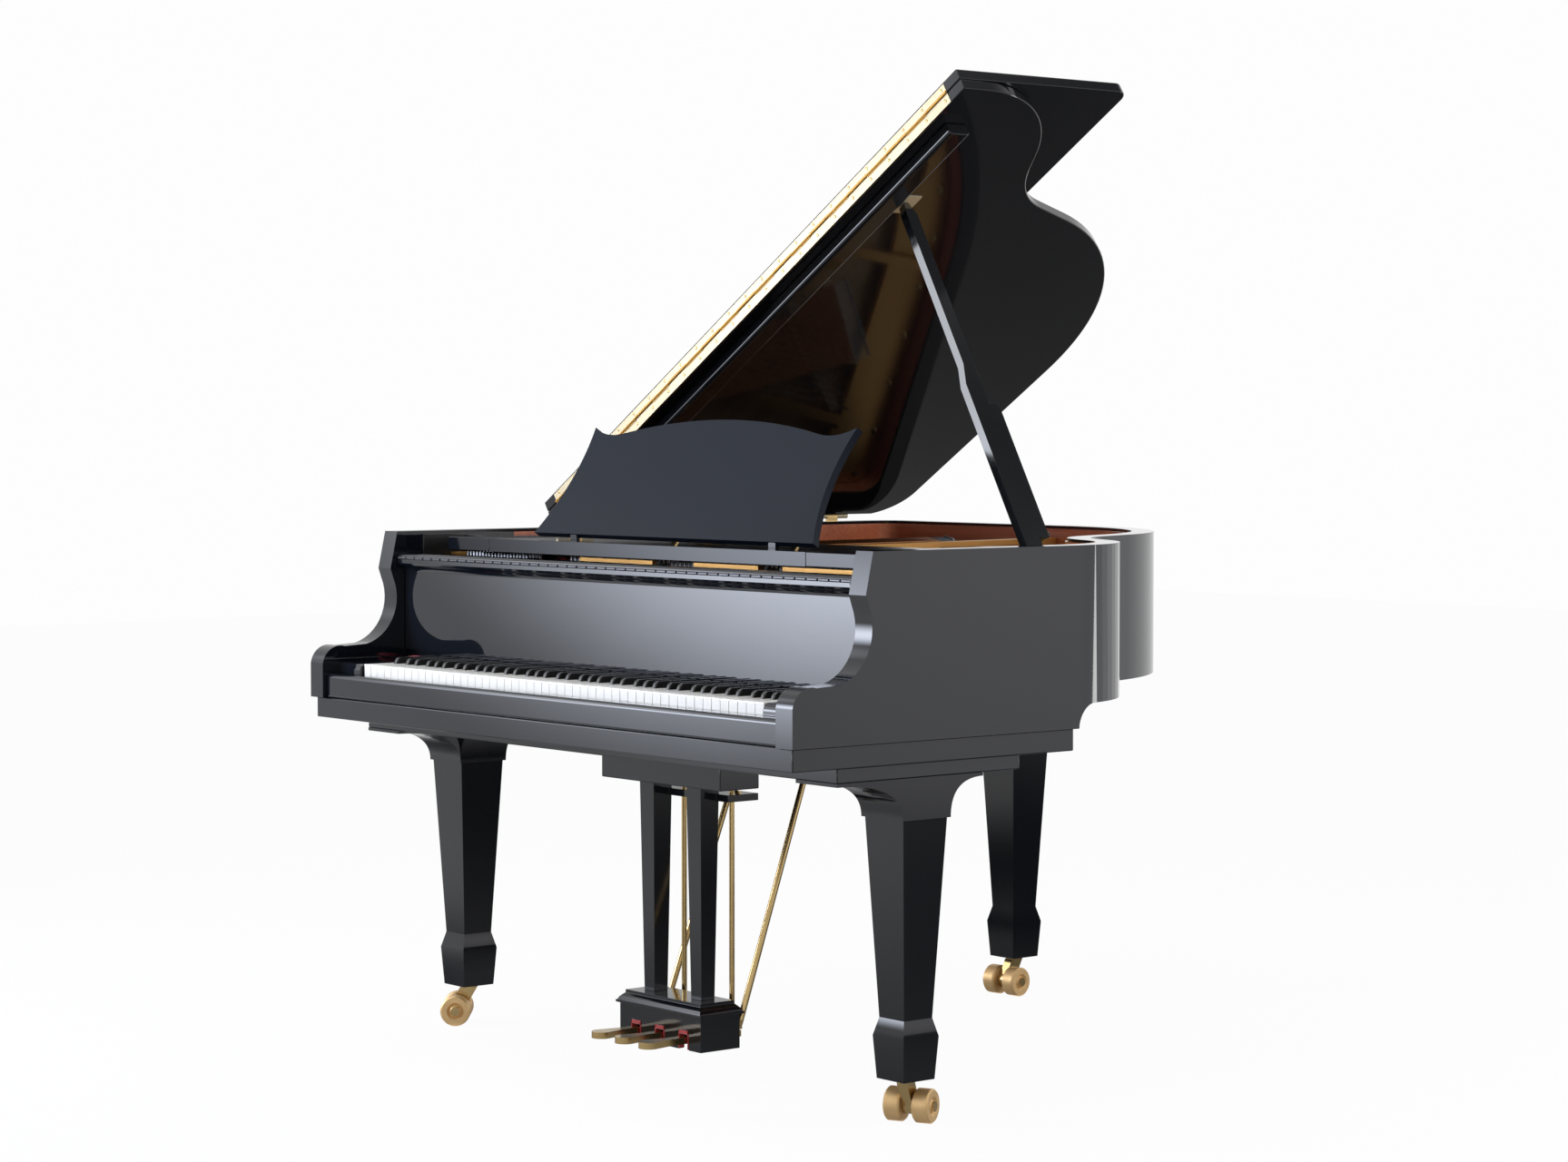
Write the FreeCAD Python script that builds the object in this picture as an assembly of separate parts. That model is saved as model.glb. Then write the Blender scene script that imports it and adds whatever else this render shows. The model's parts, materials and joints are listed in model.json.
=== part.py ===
import FreeCAD, Part
import math
import os
from FreeCAD import Vector

# Grand piano with its lid raised on the long prop.
# Millimetres, +Z up, floor at Z = 0, X = 0 on the keyboard's centre line, treble at +X.
# "Depth" is measured towards the tail from the front faces of the arms.

# Case
case_width = 1480.0
case_length = 1500.0
rim_height = 320.0
rim_thickness = 44.0
arm_depth = 173.0
arm_profile_shares = ((1.0, 1.0), (0.907, 0.772), (0.942, 0.716), (0.954, 0.494),
                      (0.578, 0.316), (0.295, 0.309), (0.052, 0.269), (0.0, 0.172))
treble_straight = 628.0
shoulder_radius_share = 0.3211
shoulder_turn = 67.0
shoulder_flat_share = 0.05734
waist_radius_share = 0.2523
waist_turn = 47.0
waist_flat_share = 0.12615
spine_corner_radius = 90.0
tail_rise = 43.0
tail_rise_run = 50.0
tail_rise_bend_shares = (0.25, 0.68)
lining_thickness = 4.0
lining_front = 232.0
lining_drop = 6.0
inner_rim_thickness = 48.0
belly_setback = 28.0
overrun = 5.0
quarter_turn = 90.0

# Key bed
key_bed_underside = 626.0
key_bed_thickness = 39.0
key_bed_setback = 8.0
key_bed_length = 635.0
key_bed_inset = 10.0
plank_thickness = 26.0
plank_setback = 116.0
plank_length = 412.0
plank_inset = 25.0
key_slip_thickness = 28.0
key_slip_height = 47.0
key_slip_round = 9.0
key_block_length = 182.0
key_block_height = 68.0
key_block_round = 14.0
fall_end_gap = 2.0

# Keys
white_count = 52
white_names = ("a", "b", "c", "d", "e", "f", "g")
black_shift_shares = {"a": 0.17, "c": -0.12, "d": 0.12, "f": -0.17, "g": 0.0}
key_cheek = 82.4
key_gap = 1.2
key_front = 42.5
key_back = 430.0
key_rise = 68.0
key_height = 25.0
head_length = 50.0
black_width = 10.8
black_rise = 12.0
black_slope = 6.0
black_top_back = 191.0
balance_depth = 262.0
key_rest_gap = 0.3
shift_room = 4.4

# Key frame and action
frame_rail_width = 36.0
front_rail_depth = 62.0
front_rail_height = 22.0
back_rail_depth = 396.0
balance_top_width = 6.0
balance_foot_width = 40.0
frame_bar_count = 5
frame_bar_width = 40.0
frame_bar_height = 12.0
action_rail_depth = 404.0
action_rail_width = 26.0
wippen_rail_rise = 39.0
hammer_rail_drop = 80.0
action_rail_thickness = 18.0
bracket_thickness = 8.0
bracket_gap = 6.0
bracket_top_length = 26.0
bracket_foot_length = 130.0
hammer_strike_setback = 76.0
hammer_head_width = 9.0
hammer_head_length = 15.0
hammer_head_height = 34.0
hammer_shank = 5.0
hammer_butt_height = 12.0

# Fallboard
fall_face = 190.0
fall_thickness = 22.0
fall_key_gap = 19.0
fall_lip_height = 25.0
fall_top_drop = 43.0
fall_lip_reach = 18.0
fall_cove = 12.0
fall_round = 6.0
fall_pivot_depth = 196.0
fall_pivot_rise = 12.0
fall_pin_radius = 5.0
fall_pin_length = 9.0
pin_clearance = 0.1

# Soundboard, bridges and back posts
soundboard_drop = 80.0
soundboard_thickness = 8.0
rib_count = 7
rib_width = 22.0
rib_depth = 18.0
rib_turn = 38.0
post_width = 62.0
post_depth = 74.0
post_rise = 8.0
post_place_shares = (-0.66, -0.32, 0.02, 0.36)
belly_rail_thickness = 42.0
bridge_width = 30.0
string_rest_gap = 0.5
bridge_steps = 9
bass_bridge_steps = 3

# Plate, pin block, strings
plate_clearance = 1.0
flange_rise = 37.0
flange_thickness = 12.0
flange_width = 62.0
skirt_width = 30.0
web_length = 194.0
web_back_gap = 10.0
front_rib_width = 10.0
front_rib_rise = 24.0
front_rib_shares = ((-0.37, -0.04), (0.14, 0.41), (0.51, 0.8))
web_rise = 15.0
web_thickness = 12.0
strut_width = 22.0
strut_start_gap = 50.0
strut_low_rise = 24.0
strut_rise_gap = 8.0
strut_depth = 11.0
strut_lift = 7.0
strut_slope = 18.0
side_strip = 20.0
hitch_width = 130.0
hitch_setback = 194.0
pin_block_length = 100.0
pin_block_thickness = 44.0
pin_side = 6.5
pin_height = 24.0
pin_row_setback = 24.0
pin_row_step = 26.0
pin_rows = 3
plain_count = 68
wound_count = 20
break_width = 62.0
treble_margin = 128.0
plain_sections = (22, 22, 24)
section_gap = 36.0
bass_margin = 128.0
bass_spread = 202.0
string_side = 1.6
wound_side = 3.4
string_front_rise = 16.0
wound_front_rise = 22.5
bridge_string_rise = 40.0
bass_string_rise = 52.0
plain_tail_room = 700.0
shortest_plain = 78.0
plain_curve_share = 1.55
agraffe_gap = 24.0
string_start_setback = 100.0
plain_lean = 11.0
wound_lean = 16.0
wound_tail_room = 680.0
wound_length_drop = 130.0
string_tail = 46.0
undamped_count = 18
damper_setback = 22.0
damper_width = 9.0
damper_length = 26.0
damper_height = 18.0
damper_gap = 0.3

# Desk
rail_inner_inset = 260.0
rail_outer_inset = 120.0
rail_front = 243.0
rail_corner = 330.0
rail_back = 530.0
shelf_drop = 10.0
shelf_thickness = 12.0
ledge_height = 25.0
ledge_length = 53.0
rail_tongue = 12.0
rail_tongue_thickness = 10.0
slide_gap = 0.3
shelf_side_gap = 1.0
desk_pivot_depth = 318.0
desk_pivot_rise = 13.0
desk_thickness = 15.0
desk_foot = 6.0
desk_height = 256.0
desk_side_gap = 59.0
desk_top_inset = 29.0
desk_waist_inset = 37.0
desk_waist_share = 0.5
desk_corner_share = 0.934
desk_dip_share = 0.878
desk_dip_inset = 126.0
desk_dip_bend_share = 0.872
desk_lean = 32.0
desk_hinge_inset = 121.0
desk_hinge_width = 20.0
desk_hinge_gap = 1.0
desk_ear_radius = 4.0
desk_pocket_gap = 0.5
desk_pin_radius = 2.0
desk_pin_reach = 9.0
desk_pin_clearance = 0.1
strut_seat = 115.0
strut_foot_gap = 0.3
strut_bar = 4.0
strut_bar_width = 18.0
strut_bar_gap = 0.3
strut_bar_spread = 180.0
strut_bar_angle = 52.0

# Lid
lid_angle = 32.1
lid_thickness = 21.0
lid_gap = 10.0
lid_overhang = 5.0
lid_hinge_offset = 6.0
flap_setback = 55.0
flap_front = 150.0
flap_corner_radius = 24.0
leaf_thickness = 1.2
leaf_edge_gap = 2.6
leaf_width = 18.0
knuckle_radius = 2.2
knuckle_count = 22
leaf_knuckle_gap = 0.5
knuckle_gap = 0.15
fold_gap = 1.0
batten_width = 50.0
batten_height = 24.0
batten_round = 9.0
batten_setback = 34.0
batten_end = 95.0
leaf_end = 40.0
hinge_count = 3
hinge_length = 90.0
hinge_first_setback = 12.0
hinge_last_setback = 170.0
hinge_leaf = 2.0
hinge_leaf_drop = 52.0
hinge_leaf_rise = 17.0
hinge_radius = 5.0
hinge_knuckle_share = 0.3333
hinge_gap = 0.2

# Prop
prop_base_inset = 71.0
prop_base_setback = 18.0
prop_base_drop = 19.0
prop_tip_inset = 334.0
prop_tip_setback = 61.0
prop_thickness = 17.0
prop_lower_front = 22.0
prop_upper_front = 10.0
prop_back = 16.0
prop_jog_share = 0.465
prop_jog_run = 46.0
prop_tip_width = 14.0
prop_tip_length = 26.0
prop_tip_gap = 0.7
prop_fold_across_share = 0.647
prop_fold_back_share = 0.76
prop_fold_rise_share = 0.03
prop_pin_radius = 5.0
prop_pin_clearance = 0.1
prop_boss_gap = 0.4
prop_plate_thickness = 3.0
prop_seat_width = 52.0
prop_seat_thickness = 3.0
half_prop_start = 46.0
half_prop_length = 266.0
half_prop_width = 25.0
half_prop_gap = 0.6
half_prop_thickness = 12.0
half_prop_pin = 3.5
half_prop_head = 3.0
half_prop_head_radius = 6.0
prop_boss_radius = 7.0
prop_plate_length = 54.0
prop_plate_drop = 40.0
prop_plate_top_drop = 1.0

# Legs and casters
leg_inset = 79.0
leg_depth = 315.0
rear_leg_share = 0.3311
rear_leg_setback = 87.0
leg_head_drop = 72.0
leg_head_width = 108.0
leg_shaft_width = 99.0
leg_ankle = 184.0
leg_ankle_width = 64.0
leg_toe = 153.0
leg_toe_width = 80.0
leg_base = 79.0
leg_base_width = 70.0
bracket_plate = 6.0
bracket_front_reach = 145.0
bracket_back_reach = 74.0
bracket_side_reach = 54.0
rear_plate_thickness = 70.0
rear_plate_width = 210.0
rear_plate_length = 170.0
rear_leg_reach = 46.0
stem_radius = 9.0
stem_socket = 34.0
stem_clearance = 0.1
collar_radius = 17.0
collar_height = 5.0
collar_gap = 0.3
wheel_radius = 30.0
wheel_width = 30.0
wheel_crown = 3.0
wheel_hub_radius = 17.0
wheel_hub_depth = 4.0
wheel_gap = 23.0
axle_radius = 6.0
axle_clearance = 0.05
axle_head_radius = 9.0
axle_head = 3.0
fork_width = 19.0
fork_eye_radius = 16.0
caster_trail = 24.0
caster_turns = (("front_left", 140.7), ("front_right", 25.5), ("rear", 185.7))

# Lyre and pedals
lyre_front = 291.0
lyre_depth = 91.0
lyre_top_half = 180.0
lyre_top_height = 67.0
lyre_column_spread = 71.0
lyre_column_top = 43.0
lyre_column_foot = 31.0
lyre_box_half = 123.0
lyre_box_base = 50.0
lyre_box_height = 64.0
lyre_box_wall = 12.0
lyre_cap_height = 24.0
lyre_cap_overhang = 6.0
lyre_cap_shares = ((0, 0), (0.2, 0), (0.2, 0.16), (0.42, 0.34), (0.62, 0.7), (0.76, 1), (1, 1))
rod_guide_drop = 95.0
rod_guide_thickness = 13.0
rod_guide_half = 128.0
pedal_spread = 72.0
pedal_tip = 192.0
pedal_tail = 418.0
pedal_pivot = 335.0
pedal_height = 62.0
pedal_thickness = 12.0
pedal_width = 20.0
pedal_toe_width = 38.0
pedal_toe_length = 66.0
pedal_pin_radius = 4.0
pedal_pin_clearance = 0.1
pedal_slot_side = 5.0
pedal_slot_drop = 20.0
pedal_slot_rise = 12.0
rod_depth = 404.0
rod_radius = 5.0
rod_top_drop = 12.0
rod_gap = 0.3
rod_clearance = 0.1
brace_radius = 6.0
brace_foot_x = 112.0
brace_foot_height = 92.0
brace_head_x = 100.0
brace_head_depth = 585.0
brace_plate = 8.0

# Derived places
half_width = case_width / 2
tail_room = case_length - treble_straight
shoulder_radius = tail_room * shoulder_radius_share
shoulder_flat = tail_room * shoulder_flat_share
waist_radius = tail_room * waist_radius_share
waist_flat = tail_room * waist_flat_share
waist_heading = shoulder_turn - waist_turn
inner_rim_front = treble_straight - belly_setback
hammer_strike_depth = inner_rim_front - hammer_strike_setback
agraffe_depth = hammer_strike_depth - agraffe_gap
strut_rise = hammer_strike_depth + strut_rise_gap
damper_depth = inner_rim_front - damper_setback
web_back = agraffe_depth - web_back_gap
web_front = web_back - web_length
strut_start = web_back - strut_start_gap
pin_row_depth = web_front + pin_row_setback
string_start = web_front + string_start_setback
flap_line = treble_straight - flap_setback
hitch_front = case_length - hitch_setback
front = -case_length / 2
inner_face = half_width - rim_thickness - lining_thickness
arm_face = half_width - rim_thickness
key_span = 2 * (arm_face - key_cheek)
white_pitch = key_span / white_count
wound_first_x = bass_margin - half_width
wound_last_x = wound_first_x + bass_spread
plain_first_x = wound_last_x + break_width
plain_last_x = half_width - treble_margin
longest_plain = case_length - plain_tail_room
wound_length = case_length - wound_tail_room
rail_inner = half_width - rail_inner_inset
rail_outer = half_width - rail_outer_inset
desk_half_bottom = rail_inner - desk_side_gap
desk_half_top = desk_half_bottom - desk_top_inset
desk_half_waist = desk_half_bottom - desk_waist_inset
desk_dip_half = desk_half_bottom - desk_dip_inset
desk_hinge_spread = desk_half_bottom - desk_hinge_inset
hinge_first = treble_straight + hinge_first_setback
hinge_last = case_length - hinge_last_setback
prop_base_x = half_width - prop_base_inset
prop_base_depth = treble_straight - prop_base_setback
prop_tip_along = case_width - prop_tip_inset
prop_tip_depth = treble_straight + prop_tip_setback
leg_spread = half_width - leg_inset
rear_leg_x = -half_width * rear_leg_share
rear_leg_depth = case_length - rear_leg_setback
key_bed_top = key_bed_underside + key_bed_thickness
plank_underside = key_bed_underside - plank_thickness
leg_head = plank_underside - leg_head_drop
rod_guide_height = plank_underside - rod_guide_drop
rod_top = plank_underside - rod_top_drop
key_top = key_bed_top + key_rise
key_base = key_top - key_height
balance_height = key_base - key_rest_gap - balance_top_width / 2
rim_top = key_bed_top + rim_height
rim_rear_base = key_bed_top + tail_rise
post_underside = rim_rear_base + post_rise
soundboard_height = rim_top - soundboard_drop
web_height = soundboard_height + web_rise
flange_height = soundboard_height + flange_rise
strut_low_top = web_height + strut_low_rise
strut_base = flange_height + strut_lift
strut_top = strut_base + strut_depth
string_front_height = web_height + string_front_rise
wound_front_height = web_height + wound_front_rise
bridge_height = soundboard_height + bridge_string_rise
bass_string_height = soundboard_height + bass_string_rise
wippen_rail_height = key_top + wippen_rail_rise
hammer_rail_height = string_front_height - hammer_rail_drop
fall_bottom = key_top + fall_key_gap
fall_pivot_height = fall_bottom + fall_pivot_rise
fall_top = rim_top - fall_top_drop
fall_lip_bottom = fall_top - fall_lip_height
shelf_top = rim_top - shelf_drop
desk_pivot_height = shelf_top + desk_pivot_rise
prop_base_height = rim_top - prop_base_drop
prop_plate_base = rim_top - prop_plate_drop
prop_plate_top = rim_top - prop_plate_top_drop
lid_axis_height = rim_top + lid_gap
lid_axis_x = -half_width - lid_hinge_offset
lid_top = lid_axis_height + lid_thickness
fold_axis_height = lid_top + fold_gap / 2

UP = Vector(0, 0, 1)
ACROSS = Vector(1, 0, 0)
BACK = Vector(0, 1, 0)


def at_depth(depth):
    return front + depth


def box(x0, x1, depth0, depth1, z0, z1):
    """Upright block between two X, two depths and two heights."""
    corner = Vector(x0, at_depth(depth0), z0)
    return Part.makeBox(x1 - x0, depth1 - depth0, z1 - z0, corner)


def side_prism(points, x0, x1):
    """Outline of (depth, height) points carried across from x0 to x1."""
    corners = [Vector(x0, at_depth(depth), height) for depth, height in points]
    face = Part.Face(Part.makePolygon(corners + corners[:1]))
    return face.extrude(ACROSS * (x1 - x0))


def plan_prism(points, z0, z1):
    """Outline of (x, depth) points carried up from z0 to z1."""
    corners = [Vector(x, at_depth(depth), z0) for x, depth in points]
    face = Part.Face(Part.makePolygon(corners + corners[:1]))
    return face.extrude(UP * (z1 - z0))


def rod(start, end, radius):
    """Round bar from one point to another."""
    return Part.makeCylinder(radius, (end - start).Length, start, end - start)


def line(start, end):
    return Part.LineSegment(start, end).toShape()


def arc(start, middle, end):
    return Part.Arc(start, middle, end).toShape()


def face_of(edges):
    return Part.Face(Part.Wire(Part.__sortEdges__(edges)))


def fuse(solids):
    """One solid from several that touch or overlap."""
    joined = solids[0].multiFuse(solids[1:]) if len(solids) > 1 else solids[0]
    return joined.removeSplitter()


def save(node, solids):
    """Writes the solids of one node as one file."""
    pieces = [solid for shape in solids for solid in shape.Solids]
    Part.makeCompound(pieces).exportStep("parts/" + node + ".step")


def straight_leg(place, heading, length):
    turn = math.radians(heading)
    end = place + Vector(-math.sin(turn), math.cos(turn), 0) * length
    return line(place, end), end


def arc_leg(place, heading, radius, turn):
    """Arc that turns left by turn degrees, or right where turn is negative."""
    side = math.copysign(1, turn)
    start = math.radians(heading)
    centre = place - Vector(math.cos(start), math.sin(start), 0) * (radius * side)
    points = []
    for part in (turn / 2, turn):
        angle = math.radians(heading + part)
        points.append(centre + Vector(math.cos(angle), math.sin(angle), 0) * (radius * side))
    return arc(place, points[0], points[1]), points[1]


def rim_edges(inset, start_depth):
    """Bent outline of the case, moved inwards by inset, closed by a straight line at start_depth."""
    start = Vector(half_width - inset, at_depth(start_depth), 0)
    treble, place = straight_leg(start, 0, treble_straight - start_depth)
    shoulder, place = arc_leg(place, 0, shoulder_radius - inset, shoulder_turn)
    upper_flat, place = straight_leg(place, shoulder_turn, shoulder_flat)
    waist, place = arc_leg(place, shoulder_turn, waist_radius + inset, -waist_turn)
    lower_flat, place = straight_leg(place, waist_heading, waist_flat)
    tail_y = case_length / 2 - inset
    tail_radius = (tail_y - place.y) / (1 - math.sin(math.radians(waist_heading)))
    tail, place = arc_leg(place, waist_heading, tail_radius, quarter_turn - waist_heading)
    bend = max(spine_corner_radius - inset, 0)
    tail_flat, place = straight_leg(place, quarter_turn, place.x + half_width - inset - bend)
    edges = [treble, shoulder, upper_flat, waist, lower_flat, tail, tail_flat]
    if bend:
        corner, place = arc_leg(place, quarter_turn, bend, quarter_turn)
        edges.append(corner)
    spine, place = straight_leg(place, 2 * quarter_turn, place.y - start.y)
    return edges + [spine, line(place, start)]


def rim_prism(inset, start_depth, z0, z1):
    """Block with the case's outline, from start_depth to the tail."""
    face = face_of(rim_edges(inset, start_depth))
    solid = face.extrude(UP * (z1 - z0))
    solid.translate(UP * z0)
    return solid


def rim_wall(outer, inner, start_depth, z0, z1):
    """Bent wall between two insets, open at the front."""
    hollow = rim_prism(inner, start_depth - overrun, z0 - overrun, z1 + overrun)
    return rim_prism(outer, start_depth, z0, z1).cut(hollow)


def mirrored(solid):
    """The same piece on the bass side."""
    return solid.mirror(Vector(0, 0, 0), ACROSS)


def side_face(edges, x0, x1):
    solid = face_of(edges).extrude(ACROSS * (x1 - x0))
    solid.translate(ACROSS * x0)
    return solid


def side_point(depth, height):
    return Vector(0, at_depth(depth), height)


def outer_rim():
    wall = rim_wall(0, rim_thickness, 0, key_bed_top, rim_top)
    scroll = [side_point(arm_depth * along, key_bed_top + rim_height * up)
              for along, up in arm_profile_shares]
    top, knee, notch, cove, heel, nose, bend, toe = scroll
    low_corner = side_point(-overrun, key_bed_top + rim_height * arm_profile_shares[-1][1])
    high_corner = side_point(-overrun, rim_top + overrun)
    back_corner = side_point(arm_depth, rim_top + overrun)
    edges = [line(top, knee), line(knee, notch), arc(notch, cove, heel), line(heel, nose), arc(nose, bend, toe),
             line(toe, low_corner), line(low_corner, high_corner), line(high_corner, back_corner),
             line(back_corner, top)]
    reach = half_width + overrun
    wall = wall.cut(side_face(edges, -reach, reach))
    rise_start = key_bed_setback + key_bed_length + overrun
    bend_along, bend_up = tail_rise_bend_shares
    low = side_point(rise_start, key_bed_top)
    bend = side_point(rise_start + tail_rise_run * bend_along, key_bed_top + tail_rise * bend_up)
    high = side_point(rise_start + tail_rise_run, rim_rear_base)
    far_high = side_point(case_length + overrun, rim_rear_base)
    far_low = side_point(case_length + overrun, key_bed_top - overrun)
    near_low = side_point(rise_start, key_bed_top - overrun)
    edges = [line(near_low, low), arc(low, bend, high), line(high, far_high), line(far_high, far_low),
             line(far_low, near_low)]
    wall = wall.cut(side_face(edges, -reach, reach))
    hole_start = side_point(fall_pivot_depth, fall_pivot_height) - ACROSS * (arm_face + fall_pin_length)
    hole_end = side_point(fall_pivot_depth, fall_pivot_height) + ACROSS * (arm_face + fall_pin_length)
    return [wall.cut(rod(hole_start, hole_end, fall_pin_radius + pin_clearance))]


def inner_rim():
    ledge = rim_wall(rim_thickness, rim_thickness + inner_rim_thickness, inner_rim_front, rim_rear_base,
                     soundboard_height)
    veneer = rim_wall(rim_thickness, rim_thickness + lining_thickness, lining_front, soundboard_height,
                      rim_top - lining_drop)
    return [ledge, veneer]


def back_posts():
    """Belly rail across the case, and posts from it to the inner rim."""
    rail = box(-arm_face, arm_face, inner_rim_front - belly_rail_thickness, inner_rim_front,
               key_bed_top, soundboard_height)
    inside = rim_prism(rim_thickness + inner_rim_thickness, inner_rim_front, post_underside,
                       post_underside + post_depth)
    posts = []
    for share in post_place_shares:
        place = arm_face * share
        post = box(place - post_width / 2, place + post_width / 2, inner_rim_front, case_length,
                   post_underside, post_underside + post_depth)
        posts.append(post.common(inside))
    return [rail] + posts


def key_bed():
    bed = box(-half_width + key_bed_inset, half_width - key_bed_inset, key_bed_setback,
              key_bed_setback + key_bed_length, key_bed_underside, key_bed_top)
    plank = box(-half_width + plank_inset, half_width - plank_inset, plank_setback,
                plank_setback + plank_length, plank_underside, key_bed_underside)
    return [bed, plank]


def key_slip():
    slip = box(-arm_face, arm_face, key_bed_setback, key_bed_setback + key_slip_thickness,
               key_bed_top, key_bed_top + key_slip_height)
    front_edge = [edge for edge in slip.Edges
                  if edge.BoundBox.ZMin > key_bed_top + key_slip_height / 2
                  and edge.BoundBox.YMax < at_depth(key_bed_setback + key_slip_thickness / 2)
                  and edge.BoundBox.XLength > arm_face]
    return [slip.makeFillet(key_slip_round, front_edge)]


def key_blocks():
    inner = key_span / 2 + shift_room
    start = key_bed_setback + key_slip_thickness
    block = box(inner, arm_face, start, key_bed_setback + key_block_length, key_bed_top,
                key_bed_top + key_block_height)
    front_edge = [edge for edge in block.Edges
                  if edge.BoundBox.ZMin > key_bed_top + key_block_height / 2
                  and edge.BoundBox.YMax < at_depth(start + key_slip_thickness)]
    block = block.makeFillet(key_block_round, front_edge)
    return [block, mirrored(block)]


def soundboard():
    edge = rim_thickness + lining_thickness + plate_clearance
    board = rim_prism(edge, inner_rim_front - belly_rail_thickness, soundboard_height,
                      soundboard_height + soundboard_thickness)
    inside = rim_prism(rim_thickness + inner_rim_thickness, inner_rim_front, soundboard_height - rib_depth,
                       soundboard_height)
    ribs = []
    spacing = (case_length - inner_rim_front) / rib_count
    for number in range(rib_count):
        middle = inner_rim_front + spacing * (number + 1 / 2)
        rib = box(-case_width, case_width, middle - rib_width / 2, middle + rib_width / 2,
                  soundboard_height - rib_depth, soundboard_height)
        rib.rotate(side_point(middle, 0), UP, -rib_turn)
        ribs.append(rib.common(inside))
    return [board] + ribs


def plain_string(number):
    """Front X, lean in degrees and length of one plain note, from the tenor break to the top treble."""
    section = 0
    first = 0
    while number >= first + plain_sections[section]:
        first += plain_sections[section]
        section += 1
    pitch = (plain_last_x - plain_first_x - section_gap * (len(plain_sections) - 1)) / (plain_count - 1)
    x = plain_first_x + pitch * number + section_gap * section
    share = number / (plain_count - 1)
    length = shortest_plain + (longest_plain - shortest_plain) * (1 - share) ** plain_curve_share
    return x, plain_lean * (1 - share), length


def wound_string(number):
    """Front X, lean in degrees and length of one wound bass note; the lean is towards the treble."""
    share = number / (wound_count - 1)
    x = wound_first_x + (wound_last_x - wound_first_x) * share
    return x, -wound_lean, wound_length - wound_length_drop * share


def string_point(x, lean, along, height):
    """Point on a string's line; along is the depth behind the agraffes, x is the place at the agraffes."""
    turn = math.radians(lean)
    return Vector(x - math.tan(turn) * along, at_depth(agraffe_depth + along), height)


def string_bar(x, lean, length, side, heights):
    """Square bar from behind the tuning pins, over the bridge, to the hitch pin."""
    reach = length * math.cos(math.radians(lean))
    tail = reach + string_tail
    start = string_point(x, lean, string_start - agraffe_depth, heights[0])
    end = string_point(x, lean, tail, string_height_at(agraffe_depth + tail, reach, heights))
    run = end - start
    bar = Part.makeBox(side, run.Length, side, Vector(-side / 2, 0, -side / 2))
    bar.Placement = FreeCAD.Placement(start, FreeCAD.Rotation(BACK, run))
    return bar


def string_height_at(depth, reach, heights):
    """Centre height of a string that climbs from its pins over the front edge of its bridge."""
    front_height, back_height = heights
    share = (depth - string_start) / (agraffe_depth + reach - bridge_width / 2 - string_start)
    return front_height + (back_height - front_height) * share


def bridge_line(maker, count, stations):
    """Where the strings of evenly picked notes cross their bridge."""
    points = []
    for station in range(stations):
        x, lean, length = maker(round((count - 1) * station / (stations - 1)))
        points.append(string_point(x, lean, length * math.cos(math.radians(lean)), 0))
    return points


def bridge(maker, count, stations, width, top):
    """Curved bar on the soundboard under the strings' crossing points."""
    points = bridge_line(maker, count, stations)
    ahead = [point - BACK * (width / 2) for point in points]
    behind = [point + BACK * (width / 2) for point in points]
    first = (points[0] - points[1]).normalize() * (width / 2)
    last = (points[-1] - points[-2]).normalize() * (width / 2)
    ends = [ahead[-1] + last, behind[-1] + last]
    outline = [ahead[0] + first] + ahead + ends + behind[::-1] + [behind[0] + first]
    face = Part.Face(Part.makePolygon(outline + outline[:1]))
    base = soundboard_height + soundboard_thickness
    solid = face.extrude(UP * (top - base))
    solid.translate(UP * base)
    return solid


def bridges():
    treble = bridge(plain_string, plain_count, bridge_steps, bridge_width,
                    bridge_height - string_side / 2 - string_rest_gap)
    bass = bridge(wound_string, wound_count, bass_bridge_steps, bridge_width,
                  bass_string_height - wound_side / 2 - string_rest_gap)
    return [treble, bass]


def plate():
    """Cast frame: pin web with front ribs, side strips, flange, hitch plate at the tail and three struts."""
    edge = rim_thickness + lining_thickness + plate_clearance * 2
    side = half_width - edge
    flange_base = flange_height - flange_thickness
    web_base = web_height - web_thickness
    board_top = soundboard_height + soundboard_thickness
    web = box(-side, side, web_front, web_back, web_base, web_height)
    board_front = inner_rim_front - belly_rail_thickness
    strip = fuse([box(side - side_strip, side, web_front, board_front, web_base, flange_height),
                  box(side - side_strip, side, board_front, inner_rim_front + skirt_width, board_top,
                      flange_height)])
    flange = rim_wall(edge, edge + flange_width, inner_rim_front, flange_base, flange_height)
    skirt = rim_wall(edge, edge + skirt_width, inner_rim_front, board_top, flange_base)
    hitch = rim_wall(edge, edge + hitch_width, inner_rim_front, flange_base, flange_height)
    hitch = hitch.common(box(-half_width, half_width, hitch_front, case_length, flange_base, flange_height))
    ribs = [box(side * first, side * last, web_front, web_front + front_rib_width, web_base,
                web_height + front_rib_rise) for first, last in front_rib_shares]
    parts = [web, strip, mirrored(strip), flange, skirt, hitch] + ribs
    limit = rim_prism(edge, web_front, web_base, strut_top)
    border = rim_wall(edge, edge + flange_width, inner_rim_front, flange_base, strut_top)
    for x, lean, bass in strut_lines():
        bar = plate_strut(x, lean, bass)
        parts.append(bar.common(limit))
        if not bass:
            foot = strut_strip(x, lean, flange_base, strut_base)
            parts.append(foot.common(border))
    return [fuse(parts)]


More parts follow.
